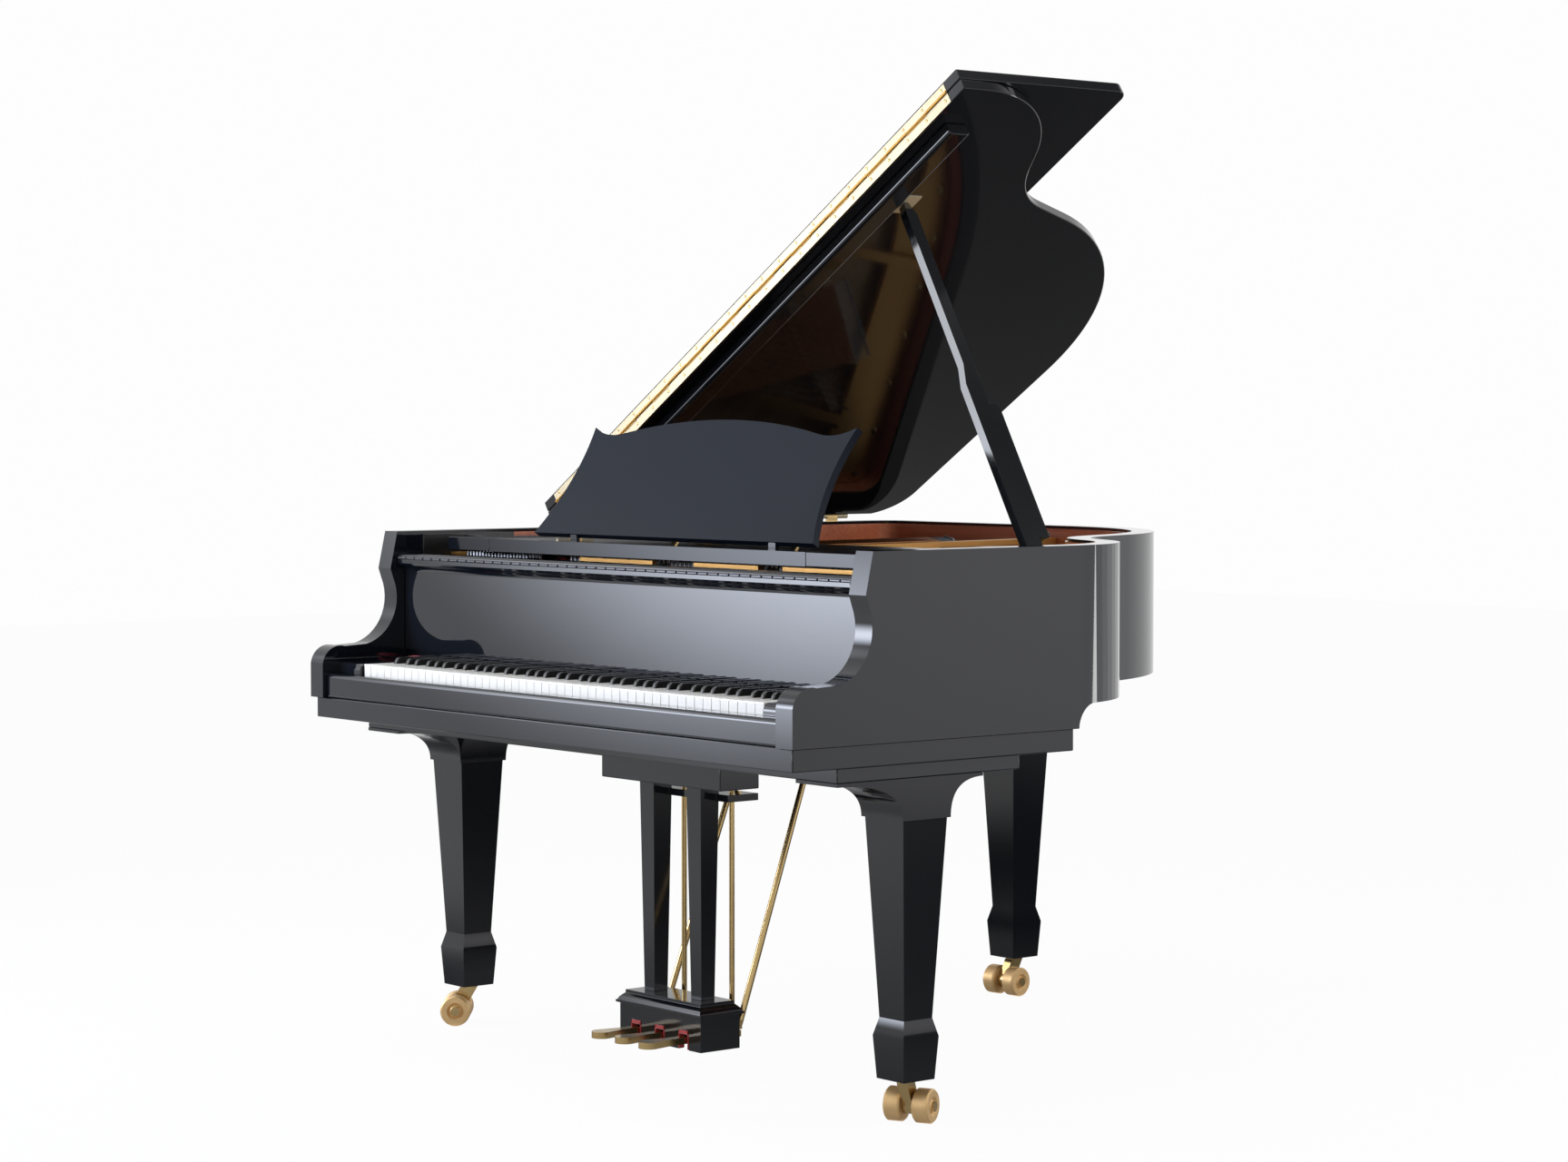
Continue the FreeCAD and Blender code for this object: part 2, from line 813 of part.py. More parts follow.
def strut_lines():
    """Place, lean and kind of each strut, one in each gap between groups of strings."""
    x, lean, length = plain_string(0)
    last_x, last_lean, last_length = wound_string(wound_count - 1)
    lines = [((x + last_x) / 2, lean, True)]
    before = 0
    for count in plain_sections[:-1]:
        before += count
        x0, lean0, length = plain_string(before - 1)
        x1, lean1, length = plain_string(before)
        lines.append(((x0 + x1) / 2, (lean0 + lean1) / 2, False))
    return lines


def plate_strut(x, lean, bass):
    """Bar over the hammer gap; away from the bass it climbs so that it passes over the bridge."""
    web_base = web_height - web_thickness
    back = case_length
    if bass:
        lower = ((back, flange_height - flange_thickness), (strut_rise, flange_height - flange_thickness))
        upper = ((strut_start, flange_height), (back, flange_height))
    else:
        lower = ((back, strut_base), (strut_rise + strut_slope, strut_base))
        upper = ((strut_start, strut_low_top), (strut_rise, strut_low_top), (strut_rise + strut_slope, strut_top),
                 (back, strut_top))
    outline = ((web_back, web_base), (strut_start, web_base)) + upper + lower
    bar = side_prism(outline, x - strut_width / 2, x + strut_width / 2)
    bar.rotate(Vector(x, at_depth(agraffe_depth), 0), UP, lean)
    return bar


def strut_strip(x, lean, z0, z1):
    strip = box(x - strut_width / 2, x + strut_width / 2, inner_rim_front + flange_width, case_length, z0, z1)
    strip.rotate(Vector(x, at_depth(agraffe_depth), 0), UP, lean)
    return strip


def pin_block():
    side = inner_face - plate_clearance
    top = web_height - web_thickness
    return [box(-side, side, web_front, web_front + pin_block_length, top - pin_block_thickness, top)]


def tuning_pins():
    """Square pin heads on the web, in rows, one row for each string of a note."""
    pins = []
    notes = [(plain_string(number), pin_rows) for number in range(plain_count)]
    notes += [(wound_string(number), pin_rows - 1) for number in range(wound_count)]
    for (x, lean, length), rows in notes:
        for row in range(rows):
            depth = pin_row_depth + pin_row_step * row
            place = string_point(x, lean, depth - agraffe_depth, web_height)
            corner = place - Vector(pin_side / 2, pin_side / 2, 0)
            pins.append(Part.makeBox(pin_side, pin_side, pin_height, corner))
    return pins


def plain_strings():
    heights = (string_front_height, bridge_height)
    return [string_bar(*plain_string(number), string_side, heights) for number in range(plain_count)]


def wound_strings():
    heights = (wound_front_height, bass_string_height)
    return [string_bar(*wound_string(number), wound_side, heights) for number in range(wound_count)]


def dampers():
    """Damper heads that stand on the strings, from the bass up to the undamped top notes."""
    heads = []
    plain = (string_side, (string_front_height, bridge_height))
    wound = (wound_side, (wound_front_height, bass_string_height))
    notes = [(plain_string(number), plain) for number in range(plain_count - undamped_count)]
    notes += [(wound_string(number), wound) for number in range(wound_count)]
    for (x, lean, length), (side, heights) in notes:
        reach = length * math.cos(math.radians(lean))
        height = string_height_at(damper_depth + damper_length, reach, heights)
        height += side / 2 + damper_gap
        place = string_point(x, lean, damper_depth - agraffe_depth, height)
        head = Part.makeBox(damper_width, damper_length, damper_height, place - ACROSS * (damper_width / 2))
        head.rotate(place, UP, lean)
        heads.append(head)
    return heads


def desk_rails():
    """Fixed rails that carry the sliding shelf, each on a bracket from the case side."""
    base = shelf_top - ledge_height
    plan = ((rail_inner, rail_front), (rail_outer, rail_front), (rail_outer, rail_corner),
            (inner_face, rail_corner), (inner_face, rail_back), (rail_inner, rail_back))
    rail = plan_prism(plan, base + slide_gap, shelf_top)
    tongue_top = shelf_top - shelf_thickness - slide_gap
    tongue = box(rail_inner - rail_tongue, rail_inner, rail_front + ledge_length + shelf_side_gap, rail_back,
                 tongue_top - rail_tongue_thickness, tongue_top)
    rail = fuse([rail, tongue])
    return [rail, mirrored(rail)]


def desk_shelf():
    half = rail_inner - shelf_side_gap
    ledge_back = rail_front + ledge_length
    ledge = box(-half, half, rail_front, ledge_back, shelf_top - ledge_height, shelf_top)
    board = box(-half, half, ledge_back, rail_back, shelf_top - shelf_thickness, shelf_top)
    return [ledge, board] + [desk_ear(side * desk_hinge_spread) for side in (-1, 1)]


def desk_pin(x, reach, radius):
    """Round bar on the desk's hinge line, as long to each side of x."""
    centre = side_point(desk_pivot_depth, desk_pivot_height) + ACROSS * x
    return rod(centre - ACROSS * reach, centre + ACROSS * reach, radius)


def desk_ear(x):
    """Ear on the shelf with the pin that the desk turns on."""
    half = desk_hinge_width / 2
    post = box(x - half, x + half, desk_pivot_depth - desk_ear_radius, desk_pivot_depth + desk_ear_radius,
               shelf_top, desk_pivot_height)
    return fuse([post, desk_pin(x, half, desk_ear_radius), desk_pin(x, half + desk_pin_reach, desk_pin_radius)])


def tip_back(shape):
    """Leans an upright desk piece back about the desk's hinge line."""
    shape.rotate(side_point(desk_pivot_depth, desk_pivot_height), ACROSS, -desk_lean)
    return shape


def music_desk():
    """Desk panel with drawn-in sides and a wavy top, leaning back on the shelf."""
    base = desk_pivot_height - desk_foot
    face_depth = desk_pivot_depth - desk_thickness / 2

    def corner(x, share):
        return Vector(x, at_depth(face_depth), base + desk_height * share)

    crown = corner(0, 1)
    bend_x = (desk_half_top + desk_dip_half) / 2
    edges = [line(corner(-desk_half_bottom, 0), corner(desk_half_bottom, 0))]
    for side in (1, -1):
        edges.append(arc(corner(side * desk_half_bottom, 0), corner(side * desk_half_waist, desk_waist_share),
                         corner(side * desk_half_top, desk_corner_share)))
        edges.append(arc(corner(side * desk_half_top, desk_corner_share),
                         corner(side * bend_x, desk_dip_bend_share),
                         corner(side * desk_dip_half, desk_dip_share)))
    edges.append(arc(corner(desk_dip_half, desk_dip_share), crown, corner(-desk_dip_half, desk_dip_share)))
    panel = face_of(edges).extrude(BACK * desk_thickness)
    room = desk_ear_radius + desk_pocket_gap
    half = desk_hinge_width / 2 + desk_hinge_gap
    for side in (-1, 1):
        middle = side * desk_hinge_spread
        panel = panel.cut(box(middle - half, middle + half, desk_pivot_depth - room,
                              desk_pivot_depth + desk_thickness, base - overrun, desk_pivot_height + room))
        panel = panel.cut(desk_pin(middle, half + desk_pin_reach, desk_pin_radius + desk_pin_clearance))
    return [tip_back(panel)]


def desk_struts():
    """Two flat bars hinged on the back of the desk, their feet on the shelf."""
    bars = []
    hinge_depth = desk_pivot_depth + desk_thickness / 2 + strut_bar_gap + strut_bar / 2
    hinge_height = desk_pivot_height + strut_seat
    pivot = side_point(desk_pivot_depth, desk_pivot_height)
    hinge = side_point(hinge_depth, hinge_height) - pivot
    hinge = FreeCAD.Rotation(ACROSS, -desk_lean).multVec(hinge) + pivot
    slant = math.radians(strut_bar_angle)
    drop = hinge.z - shelf_top - strut_foot_gap
    strut_reach = (drop - strut_bar / 2 * math.cos(slant)) / math.sin(slant)
    for side in (-1, 1):
        middle = side * strut_bar_spread
        bar = box(middle - strut_bar_width / 2, middle + strut_bar_width / 2, hinge_depth - strut_bar / 2,
                  hinge_depth + strut_bar / 2, hinge_height - strut_reach, hinge_height)
        eye_start = Vector(middle - strut_bar_width / 2, at_depth(hinge_depth), hinge_height)
        eye = rod(eye_start, eye_start + ACROSS * strut_bar_width, strut_bar / 2)
        bar = tip_back(fuse([bar, eye]))
        bar.rotate(hinge, ACROSS, quarter_turn - strut_bar_angle + desk_lean)
        bars.append(bar)
    return bars


def fallboard():
    half = arm_face - fall_end_gap
    lip = fall_face - fall_lip_reach
    back = fall_face + fall_thickness
    foot = side_point(fall_face, fall_bottom)
    cove_start = side_point(fall_face, fall_lip_bottom - fall_cove)
    cove_bend = side_point(fall_face - fall_cove / 3, fall_lip_bottom - fall_cove / 3)
    cove_end = side_point(lip + fall_round / 2, fall_lip_bottom + fall_round / 3)
    lip_low = side_point(lip, fall_lip_bottom + fall_round)
    lip_high = side_point(lip, fall_top - fall_round)
    lip_bend = side_point(lip + fall_round / 3, fall_top - fall_round / 3)
    lip_top = side_point(lip + fall_round, fall_top)
    back_top = side_point(back, fall_top)
    back_foot = side_point(back, fall_bottom)
    edges = [line(foot, cove_start), arc(cove_start, cove_bend, cove_end), line(cove_end, lip_low),
             line(lip_low, lip_high), arc(lip_high, lip_bend, lip_top), line(lip_top, back_top),
             line(back_top, back_foot), line(back_foot, foot)]
    board = side_face(edges, -half, half)
    pivot = side_point(fall_pivot_depth, fall_pivot_height)
    reach = arm_face + fall_pin_length - pin_clearance
    pins = [rod(pivot + ACROSS * (side * (half - overrun)), pivot + ACROSS * (side * reach), fall_pin_radius)
            for side in (-1, 1)]
    return [fuse([board] + pins)]


def white_name(number):
    return white_names[number % len(white_names)]


def black_centre(number):
    """X of the black key after a white key, or None where the scale has none there."""
    name = white_name(number)
    if number < 0 or number >= white_count - 1 or name not in black_shift_shares:
        return None
    edge = (number + 1) * white_pitch - key_span / 2
    return edge + white_pitch * black_shift_shares[name]


def white_key(number):
    """Key with its full-width head and the tail that passes between the black keys."""
    left = number * white_pitch - key_span / 2 + key_gap / 2
    right = left + white_pitch - key_gap
    tail_left = left
    tail_right = right
    room = black_width / 2 + key_gap
    if black_centre(number - 1) is not None:
        tail_left = black_centre(number - 1) + room
    if black_centre(number) is not None:
        tail_right = black_centre(number) - room
    head = key_front + head_length
    plan = [(left, key_front), (right, key_front), (right, head), (tail_right, head), (tail_right, key_back),
            (tail_left, key_back), (tail_left, head), (left, head)]
    plan = [point for place, point in enumerate(plan) if point != plan[place - 1]]
    return plan_prism(plan, key_base, key_top)


def black_key(number):
    """Stick with a raised cap that slopes down at the front."""
    centre = black_centre(number)
    nose = key_front + head_length + key_gap
    outline = ((nose, key_base), (nose, key_top), (nose + black_slope, key_top + black_rise),
               (black_top_back, key_top + black_rise), (black_top_back, key_top), (key_back, key_top),
               (key_back, key_base))
    return side_prism(outline, centre - black_width / 2, centre + black_width / 2)


def key_groups():
    """Keys of the same note name, over all octaves."""
    groups = {}
    for number in range(white_count):
        groups.setdefault("white_keys_" + white_name(number), []).append(white_key(number))
        if black_centre(number) is not None:
            groups.setdefault("black_keys_" + white_name(number) + "_sharp", []).append(black_key(number))
    return groups


def key_frame():
    """Three rails across the key bed, joined by bars; the keys rock on the middle one's round crest."""
    half = key_span / 2 - key_gap
    top = key_base - key_rest_gap
    front_rail = box(-half, half, front_rail_depth, front_rail_depth + frame_rail_width, key_bed_top,
                     key_bed_top + front_rail_height)
    back_rail = box(-half, half, back_rail_depth, key_back, key_bed_top, top)
    foot = balance_foot_width / 2
    crest = balance_top_width / 2
    low_front = side_point(balance_depth - foot, key_bed_top)
    low_back = side_point(balance_depth + foot, key_bed_top)
    before = side_point(balance_depth - crest, balance_height)
    over = side_point(balance_depth, balance_height + crest)
    after = side_point(balance_depth + crest, balance_height)
    edges = [line(low_front, before), arc(before, over, after), line(after, low_back),
             line(low_back, low_front)]
    balance_rail = side_face(edges, -half, half)
    parts = [front_rail, balance_rail, back_rail]
    spacing = (2 * half - frame_bar_width) / (frame_bar_count - 1)
    spans = ((front_rail_depth + frame_rail_width, balance_depth - foot), (balance_depth + foot, back_rail_depth))
    bar_top = key_bed_top + frame_bar_height
    for number in range(frame_bar_count):
        left = -half + spacing * number
        for start, end in spans:
            parts.append(box(left, left + frame_bar_width, start, end, key_bed_top, bar_top))
    return parts


def action():
    """End brackets with two rails between them, and a hammer for every note."""
    inner = key_span / 2 + bracket_gap
    rail_end = action_rail_depth + action_rail_width
    rail_top = hammer_rail_height + action_rail_thickness
    profile = ((action_rail_depth - bracket_foot_length, key_bed_top), (rail_end + bracket_gap, key_bed_top),
               (rail_end + bracket_gap, rail_top), (rail_end + bracket_gap - bracket_top_length, rail_top))
    bracket = side_prism(profile, inner, inner + bracket_thickness)
    pieces = [bracket, mirrored(bracket)]
    for base in (wippen_rail_height, hammer_rail_height):
        pieces.append(box(-inner, inner, action_rail_depth, rail_end, base, base + action_rail_thickness))
    notes = [plain_string(number) for number in range(plain_count)]
    notes += [wound_string(number) for number in range(wound_count)]
    for x, lean, length in notes:
        place = string_point(x, lean, hammer_strike_depth - agraffe_depth, 0).x
        pieces.append(hammer(place, rail_top))
    return pieces


def hammer(x, rail_top):
    """Butt on the rail, shank, and a pear-shaped head that narrows to the striking edge."""
    half = hammer_head_width / 2
    rail_end = action_rail_depth + action_rail_width
    shank_base = rail_top + (hammer_butt_height - hammer_shank) / 2
    butt = box(x - half, x + half, action_rail_depth, rail_end, rail_top, rail_top + hammer_butt_height)
    shank = box(x - hammer_shank / 2, x + hammer_shank / 2, rail_end, hammer_strike_depth, shank_base,
                shank_base + hammer_shank)
    low = shank_base - hammer_shank
    wide = hammer_head_length / 2
    head = side_prism(((hammer_strike_depth - wide, low), (hammer_strike_depth + wide, low),
                       (hammer_strike_depth + wide, low + hammer_head_height / 2),
                       (hammer_strike_depth, low + hammer_head_height),
                       (hammer_strike_depth - wide, low + hammer_head_height / 2)), x - half, x + half)
    return fuse([butt, shank, head])


def raise_lid(shape):
    """Turns a piece of the closed lid up to its rest angle on the prop."""
    shape.rotate(Vector(lid_axis_x, 0, lid_axis_height), -BACK, lid_angle)
    return shape


def fold_back(shape):
    """Turns a piece of the flat flap over on top of the main lid."""
    shape.rotate(side_point(flap_line, fold_axis_height), ACROSS, -2 * quarter_turn)
    return shape


def main_lid():
    """Lid with the case's outline, and the batten that stiffens its front edge."""
    panel = rim_prism(-lid_overhang, flap_line + leaf_edge_gap, lid_axis_height, lid_top)
    keep = box(-half_width, case_width, 0, case_length + lid_overhang + overrun, 0, lid_top + overrun)
    panel = panel.common(keep)
    batten_front = flap_line + batten_setback
    batten = box(-half_width + batten_end, half_width - batten_end, batten_front, batten_front + batten_width,
                 lid_axis_height - batten_height, lid_axis_height)
    lower = [edge for edge in batten.Edges
             if edge.BoundBox.ZMax < lid_axis_height - batten_height / 2 and edge.BoundBox.XLength > half_width]
    batten = batten.makeFillet(batten_round, lower)
    return [raise_lid(panel), raise_lid(batten)]


def knuckles(first):
    """Every second knuckle of the flap's continuous hinge."""
    left = -half_width + leaf_end
    step = (case_width + lid_overhang - 2 * leaf_end) / knuckle_count
    pieces = []
    for number in range(first, knuckle_count, 2):
        start = Vector(left + step * number + knuckle_gap, at_depth(flap_line), fold_axis_height)
        pieces.append(rod(start, start + ACROSS * (step - 2 * knuckle_gap), knuckle_radius))
    return pieces


def edge_leaf(edge_depth, direction, first):
    """Hinge leaf on the lid's or the flap's edge, with its knuckles; direction points away from the edge."""
    outer = edge_depth + direction * leaf_thickness
    near, far = sorted((edge_depth, outer))
    left = -half_width + leaf_end
    right = half_width + lid_overhang - leaf_end
    leaf_top = fold_axis_height - knuckle_radius - leaf_knuckle_gap
    leaf = box(left, right, near, far, leaf_top - leaf_width, leaf_top)
    neck_near, neck_far = sorted((edge_depth, flap_line))
    pieces = [leaf]
    for knuckle in knuckles(first):
        bounds = knuckle.BoundBox
        pieces += [knuckle, box(bounds.XMin, bounds.XMax, neck_near, neck_far, leaf_top - leaf_thickness,
                                fold_axis_height)]
    return fuse(pieces)


def spine_hinge_places():
    step = (hinge_last - hinge_first) / (hinge_count - 1)
    return [hinge_first + step * number for number in range(hinge_count)]


def spine_knuckle(middle, first_share, last_share):
    """Part of a spine hinge's barrel between two shares of its length."""
    start = middle - hinge_length / 2 + hinge_length * first_share + hinge_gap
    end = middle - hinge_length / 2 + hinge_length * last_share - hinge_gap
    return rod(Vector(lid_axis_x, at_depth(start), lid_axis_height),
               Vector(lid_axis_x, at_depth(end), lid_axis_height), hinge_radius)


def spine_neck(middle, first_share, last_share, z0, z1):
    """Web from a barrel to its leaf."""
    start = middle - hinge_length / 2 + hinge_length * first_share + hinge_gap
    end = middle - hinge_length / 2 + hinge_length * last_share - hinge_gap
    return box(lid_axis_x, -half_width, start, end, z0, z1)


def spine_clearance(middle, first_share, last_share):
    """Room round the case's knuckle in the lid's leaf."""
    start = middle - hinge_length / 2 + hinge_length * first_share - hinge_gap
    end = middle - hinge_length / 2 + hinge_length * last_share + hinge_gap
    return rod(Vector(lid_axis_x, at_depth(start), lid_axis_height),
               Vector(lid_axis_x, at_depth(end), lid_axis_height), hinge_radius + hinge_gap)


def lid_hinge_plates():
    """Case halves of the spine hinges: a leaf on the rim and the middle knuckle."""
    plates = []
    first, last = hinge_knuckle_share, 1 - hinge_knuckle_share
    for middle in spine_hinge_places():
        leaf = box(-half_width - hinge_leaf, -half_width, middle - hinge_length / 2, middle + hinge_length / 2,
                   rim_top - hinge_leaf_drop, rim_top)
        neck = spine_neck(middle, first, last, rim_top - hinge_leaf, lid_axis_height - hinge_gap)
        plates.append(fuse([leaf, neck, spine_knuckle(middle, first, last)]))
    return plates


def lid_fittings():
    """Lid halves of the spine hinges, the lid's leaf of the flap hinge, and the seat for the prop."""
    pieces = []
    first, last = hinge_knuckle_share, 1 - hinge_knuckle_share
    for middle in spine_hinge_places():
        leaf = box(-half_width - hinge_leaf, -half_width, middle - hinge_length / 2, middle + hinge_length / 2,
                   lid_axis_height + hinge_gap, lid_axis_height + hinge_leaf_rise)
        parts = [leaf.cut(spine_clearance(middle, first, last))]
        for start, end in ((0, first), (last, 1)):
            parts.append(spine_knuckle(middle, start, end))
            parts.append(spine_neck(middle, start, end, lid_axis_height + hinge_gap,
                                    lid_axis_height + hinge_radius))
        pieces.append(raise_lid(fuse(parts)))
    pieces.append(raise_lid(edge_leaf(flap_line + leaf_edge_gap, -1, 0)))
    seat_x = prop_seat_x()
    seat = box(seat_x - prop_seat_width / 2, seat_x + prop_seat_width / 2, prop_tip_depth - prop_seat_width / 2,
               prop_tip_depth + prop_seat_width / 2, lid_axis_height - prop_seat_thickness, lid_axis_height)
    pieces.append(raise_lid(seat))
    return pieces


def front_flap():
    """Front part of the lid, folded back flat on top of the main part."""
    left = -half_width
    right = half_width + lid_overhang
    panel = box(left, right, flap_front, flap_line - leaf_edge_gap, lid_axis_height, lid_top)
    corners = [edge for edge in panel.Edges
               if edge.BoundBox.ZLength > lid_thickness / 2
               and edge.BoundBox.YMax < at_depth(flap_front + flap_corner_radius)]
    panel = panel.makeFillet(flap_corner_radius, corners)
    return [raise_lid(fold_back(panel))]


def flap_hinge_leaf():
    return [raise_lid(fold_back(edge_leaf(flap_line - leaf_edge_gap, 1, 1)))]


def prop_seat_x():
    """X of the prop seat on the closed lid."""
    return lid_axis_x + prop_tip_along


def prop_frame():
    """Base, direction, fold axis and length of the prop; its side points the way that it folds."""
    base = Vector(prop_base_x, at_depth(prop_base_depth), prop_base_height)
    drop = prop_seat_thickness + prop_tip_gap
    tip = Vector(prop_seat_x(), at_depth(prop_tip_depth), lid_axis_height - drop)
    hinge = Vector(lid_axis_x, 0, lid_axis_height)
    tip = FreeCAD.Rotation(-BACK, lid_angle).multVec(tip - hinge) + hinge
    along = (tip - base).normalize()
    folded = Vector(-prop_fold_across_share, prop_fold_back_share, prop_fold_rise_share).normalize()
    axis = along.cross(folded).normalize()
    return base, along, axis, (tip - base).Length


def prop_section():
    """Sideways direction of the stick's broad face, towards the tail, and the face's own direction."""
    along = prop_frame()[1]
    side = (BACK - along * along.dot(BACK)).normalize()
    return side, along.cross(side)


def prop_place(along_place, side_place, lift):
    """Point in the stick's own sizes."""
    base, along, axis, length = prop_frame()
    side, face = prop_section()
    return base + along * along_place + side * side_place + face * lift


def prop_solid(start, steps, low, high):
    """Outline of lines and arcs in (along, sideways) sizes; a step gives its end, or a middle and an end."""
    place = prop_place(*start, low)
    edges = []
    for step in steps:
        points = [prop_place(a, b, low) for a, b in step]
        edges.append(line(place, points[0]) if len(points) == 1 else arc(place, *points))
        place = points[-1]
    return face_of(edges).extrude(prop_section()[1] * (high - low))


def lid_prop():
    """Long stick: broad lower half with a pin for the half prop, slim upper half with a narrow tip."""
    length = prop_frame()[3]
    low, high = -prop_thickness / 2, prop_thickness / 2
    wide, slim, back, tip = -prop_lower_front, -prop_upper_front, prop_back, prop_tip_width / 2
    jog = length * prop_jog_share
    neck = length - prop_tip_length
    end = (wide - back) / 2
    steps = (((jog, wide),), ((jog + prop_jog_run, slim),), ((neck, slim),), ((length - tip, -tip),),
             ((length, 0), (length - tip, tip)), ((neck, back),), ((0, back),),
             ((end, (wide + back) / 2), (0, wide)))
    stick = prop_solid((0, wide), steps, low, high)
    base, along, axis, length = prop_frame()
    reach = axis * (prop_thickness + overrun)
    stick = stick.cut(rod(base - reach, base + reach, prop_pin_radius + prop_pin_clearance))
    reach = back + half_prop_width + 2 * half_prop_gap
    pin = rod(prop_place(half_prop_start, 0, 0), prop_place(half_prop_start, reach, 0), half_prop_pin)
    head = rod(prop_place(half_prop_start, reach, 0), prop_place(half_prop_start, reach + half_prop_head, 0),
               half_prop_head_radius)
    return [fuse([stick, pin, head])]


def half_prop_side():
    """How far the half prop's centre line lies beside the long stick's."""
    return prop_back + half_prop_gap + half_prop_width / 2


def half_prop():
    low, high = -half_prop_thickness / 2, half_prop_thickness / 2
    middle = half_prop_side()
    half = half_prop_width / 2
    end = half_prop_start + half_prop_length
    steps = (((end, middle - half),), ((end + half, middle), (end, middle + half)),
             ((half_prop_start, middle + half),),
             ((half_prop_start - half, middle), (half_prop_start, middle - half)))
    bar = prop_solid((half_prop_start, middle - half), steps, low, high)
    hole = rod(prop_place(half_prop_start, middle - half_prop_width, 0),
               prop_place(half_prop_start, middle + half_prop_width, 0), half_prop_pin + prop_pin_clearance)
    return [bar.cut(hole)]


def prop_bracket():
    """Plate on the case side with the slanted boss and pin that the prop turns on."""
    base, along, axis, length = prop_frame()
    reach = (inner_face - base.x) / -axis.x
    wall = base - axis * reach
    middle = wall.y - front
    plate_solid = box(inner_face - prop_plate_thickness, inner_face, middle - prop_plate_length / 2,
                      middle + prop_plate_length / 2, prop_plate_base, prop_plate_top)
    slant = abs(axis.dot(prop_section()[1]))
    spread = prop_boss_radius * math.sqrt(1 - slant * slant)
    boss = rod(base - axis * ((prop_thickness / 2 + prop_boss_gap + spread) / slant), wall, prop_boss_radius)
    pin = rod(base + axis * (prop_thickness / 2), wall, prop_pin_radius)
    inside = rim_prism(rim_thickness + lining_thickness, lining_front, prop_plate_base, rim_top)
    return [fuse([piece.common(inside) for piece in (plate_solid, boss, pin)])]


def ring(x, depth, half_x, half_depth, height):
    """Corners of a level rectangle."""
    near, far = at_depth(depth - half_depth), at_depth(depth + half_depth)
    return [Vector(x - half_x, near, height), Vector(x + half_x, near, height),
            Vector(x + half_x, far, height), Vector(x - half_x, far, height)]


def tapered(rings):
    """Flat-sided solid through level rectangles, from the lowest to the highest or the other way."""
    outlines = [rings[0], rings[-1]]
    for first, second in zip(rings, rings[1:]):
        for place in range(len(first)):
            outlines.append([first[place - 1], first[place], second[place], second[place - 1]])
    faces = [Part.Face(Part.makePolygon(outline + outline[:1])) for outline in outlines]
    shell = Part.makeShell(faces)
    shell.sewShape()
    return Part.makeSolid(shell)


def hollow(start, corner, end):
    """Hollow curve that leaves along one side of a corner and ends along the other."""
    curve = Part.BezierCurve()
    curve.setPoles([start, corner, end])
    return curve.toShape()


def bracket(x, depth, top, head, reaches):
    """Hollow-sided bracket: reaches are how far it spreads to the front, back, treble and bass."""
    half = leg_head_width / 2
    base = top - bracket_plate
    to_front, to_back, to_treble, to_bass = reaches
    near, far = depth - half, depth + half
    front_tip, back_tip = near - to_front, far + to_back
    edges = [hollow(side_point(front_tip, base), side_point(near, base), side_point(near, head)),
             line(side_point(near, head), side_point(far, head)),
             hollow(side_point(far, head), side_point(far, base), side_point(back_tip, base)),
             line(side_point(back_tip, base), side_point(back_tip, top)),
             line(side_point(back_tip, top), side_point(front_tip, top)),
             line(side_point(front_tip, top), side_point(front_tip, base))]
    long_part = side_face(edges, x - half, x + half)
    parts = [long_part]
    for side, reach in ((1, to_treble), (-1, to_bass)):
        if reach:
            parts.append(side_wing(x + side * half, depth, top, head, side, reach))
    return parts


def side_wing(face_x, depth, top, head, side, reach):
    """Hollow wing on one side of a leg's bracket."""
    base = top - bracket_plate
    near = at_depth(depth - leg_head_width / 2)

    def corner(offset, height):
        return Vector(face_x + side * offset, near, height)

    edges = [hollow(corner(reach, base), corner(0, base), corner(0, head)),
             line(corner(0, head), corner(0, top)), line(corner(0, top), corner(reach, top)),
             line(corner(reach, top), corner(reach, base))]
    return face_of(edges).extrude(BACK * leg_head_width)


def leg(x, depth, top, reaches):
    """Square tapered leg with a bracket above and a spread foot with a caster socket."""
    sections = ((leg_head, leg_shaft_width), (leg_ankle, leg_ankle_width), (leg_toe, leg_toe_width),
                (leg_base, leg_base_width))
    shaft = tapered([ring(x, depth, width / 2, width / 2, height) for height, width in sections])
    solid = fuse([shaft] + bracket(x, depth, top, leg_head, reaches))
    socket = Vector(x, at_depth(depth), leg_base - overrun)
    return solid.cut(rod(socket, socket + UP * (overrun + stem_socket), stem_radius + stem_clearance))


def front_leg(side):
    """Leg under the key bed, its flat side outwards."""
    inward = bracket_side_reach
    reaches = (bracket_front_reach, bracket_back_reach) + ((0, inward) if side > 0 else (inward, 0))
    return [leg(side * leg_spread, leg_depth, plank_underside, reaches)]


def leg_rear():
    """Tail leg with the thick plate that joins it to the rim."""
    plate_base = rim_rear_base - rear_plate_thickness
    reach = rear_leg_reach
    top_plate = box(rear_leg_x - rear_plate_width / 2, rear_leg_x + rear_plate_width / 2,
                    rear_leg_depth - rear_plate_length / 2, rear_leg_depth + rear_plate_length / 2,
                    plate_base, rim_rear_base)
    solid = leg(rear_leg_x, rear_leg_depth, plate_base, (rear_plate_length / 2 - leg_head_width / 2,
                rear_plate_length / 2 - leg_head_width / 2, reach, reach))
    return [fuse([top_plate, solid])]


def caster_place(name):
    places = {"front_left": (-leg_spread, leg_depth), "front_right": (leg_spread, leg_depth),
              "rear": (rear_leg_x, rear_leg_depth)}
    x, depth = places[name]
    return Vector(x, at_depth(depth), 0)


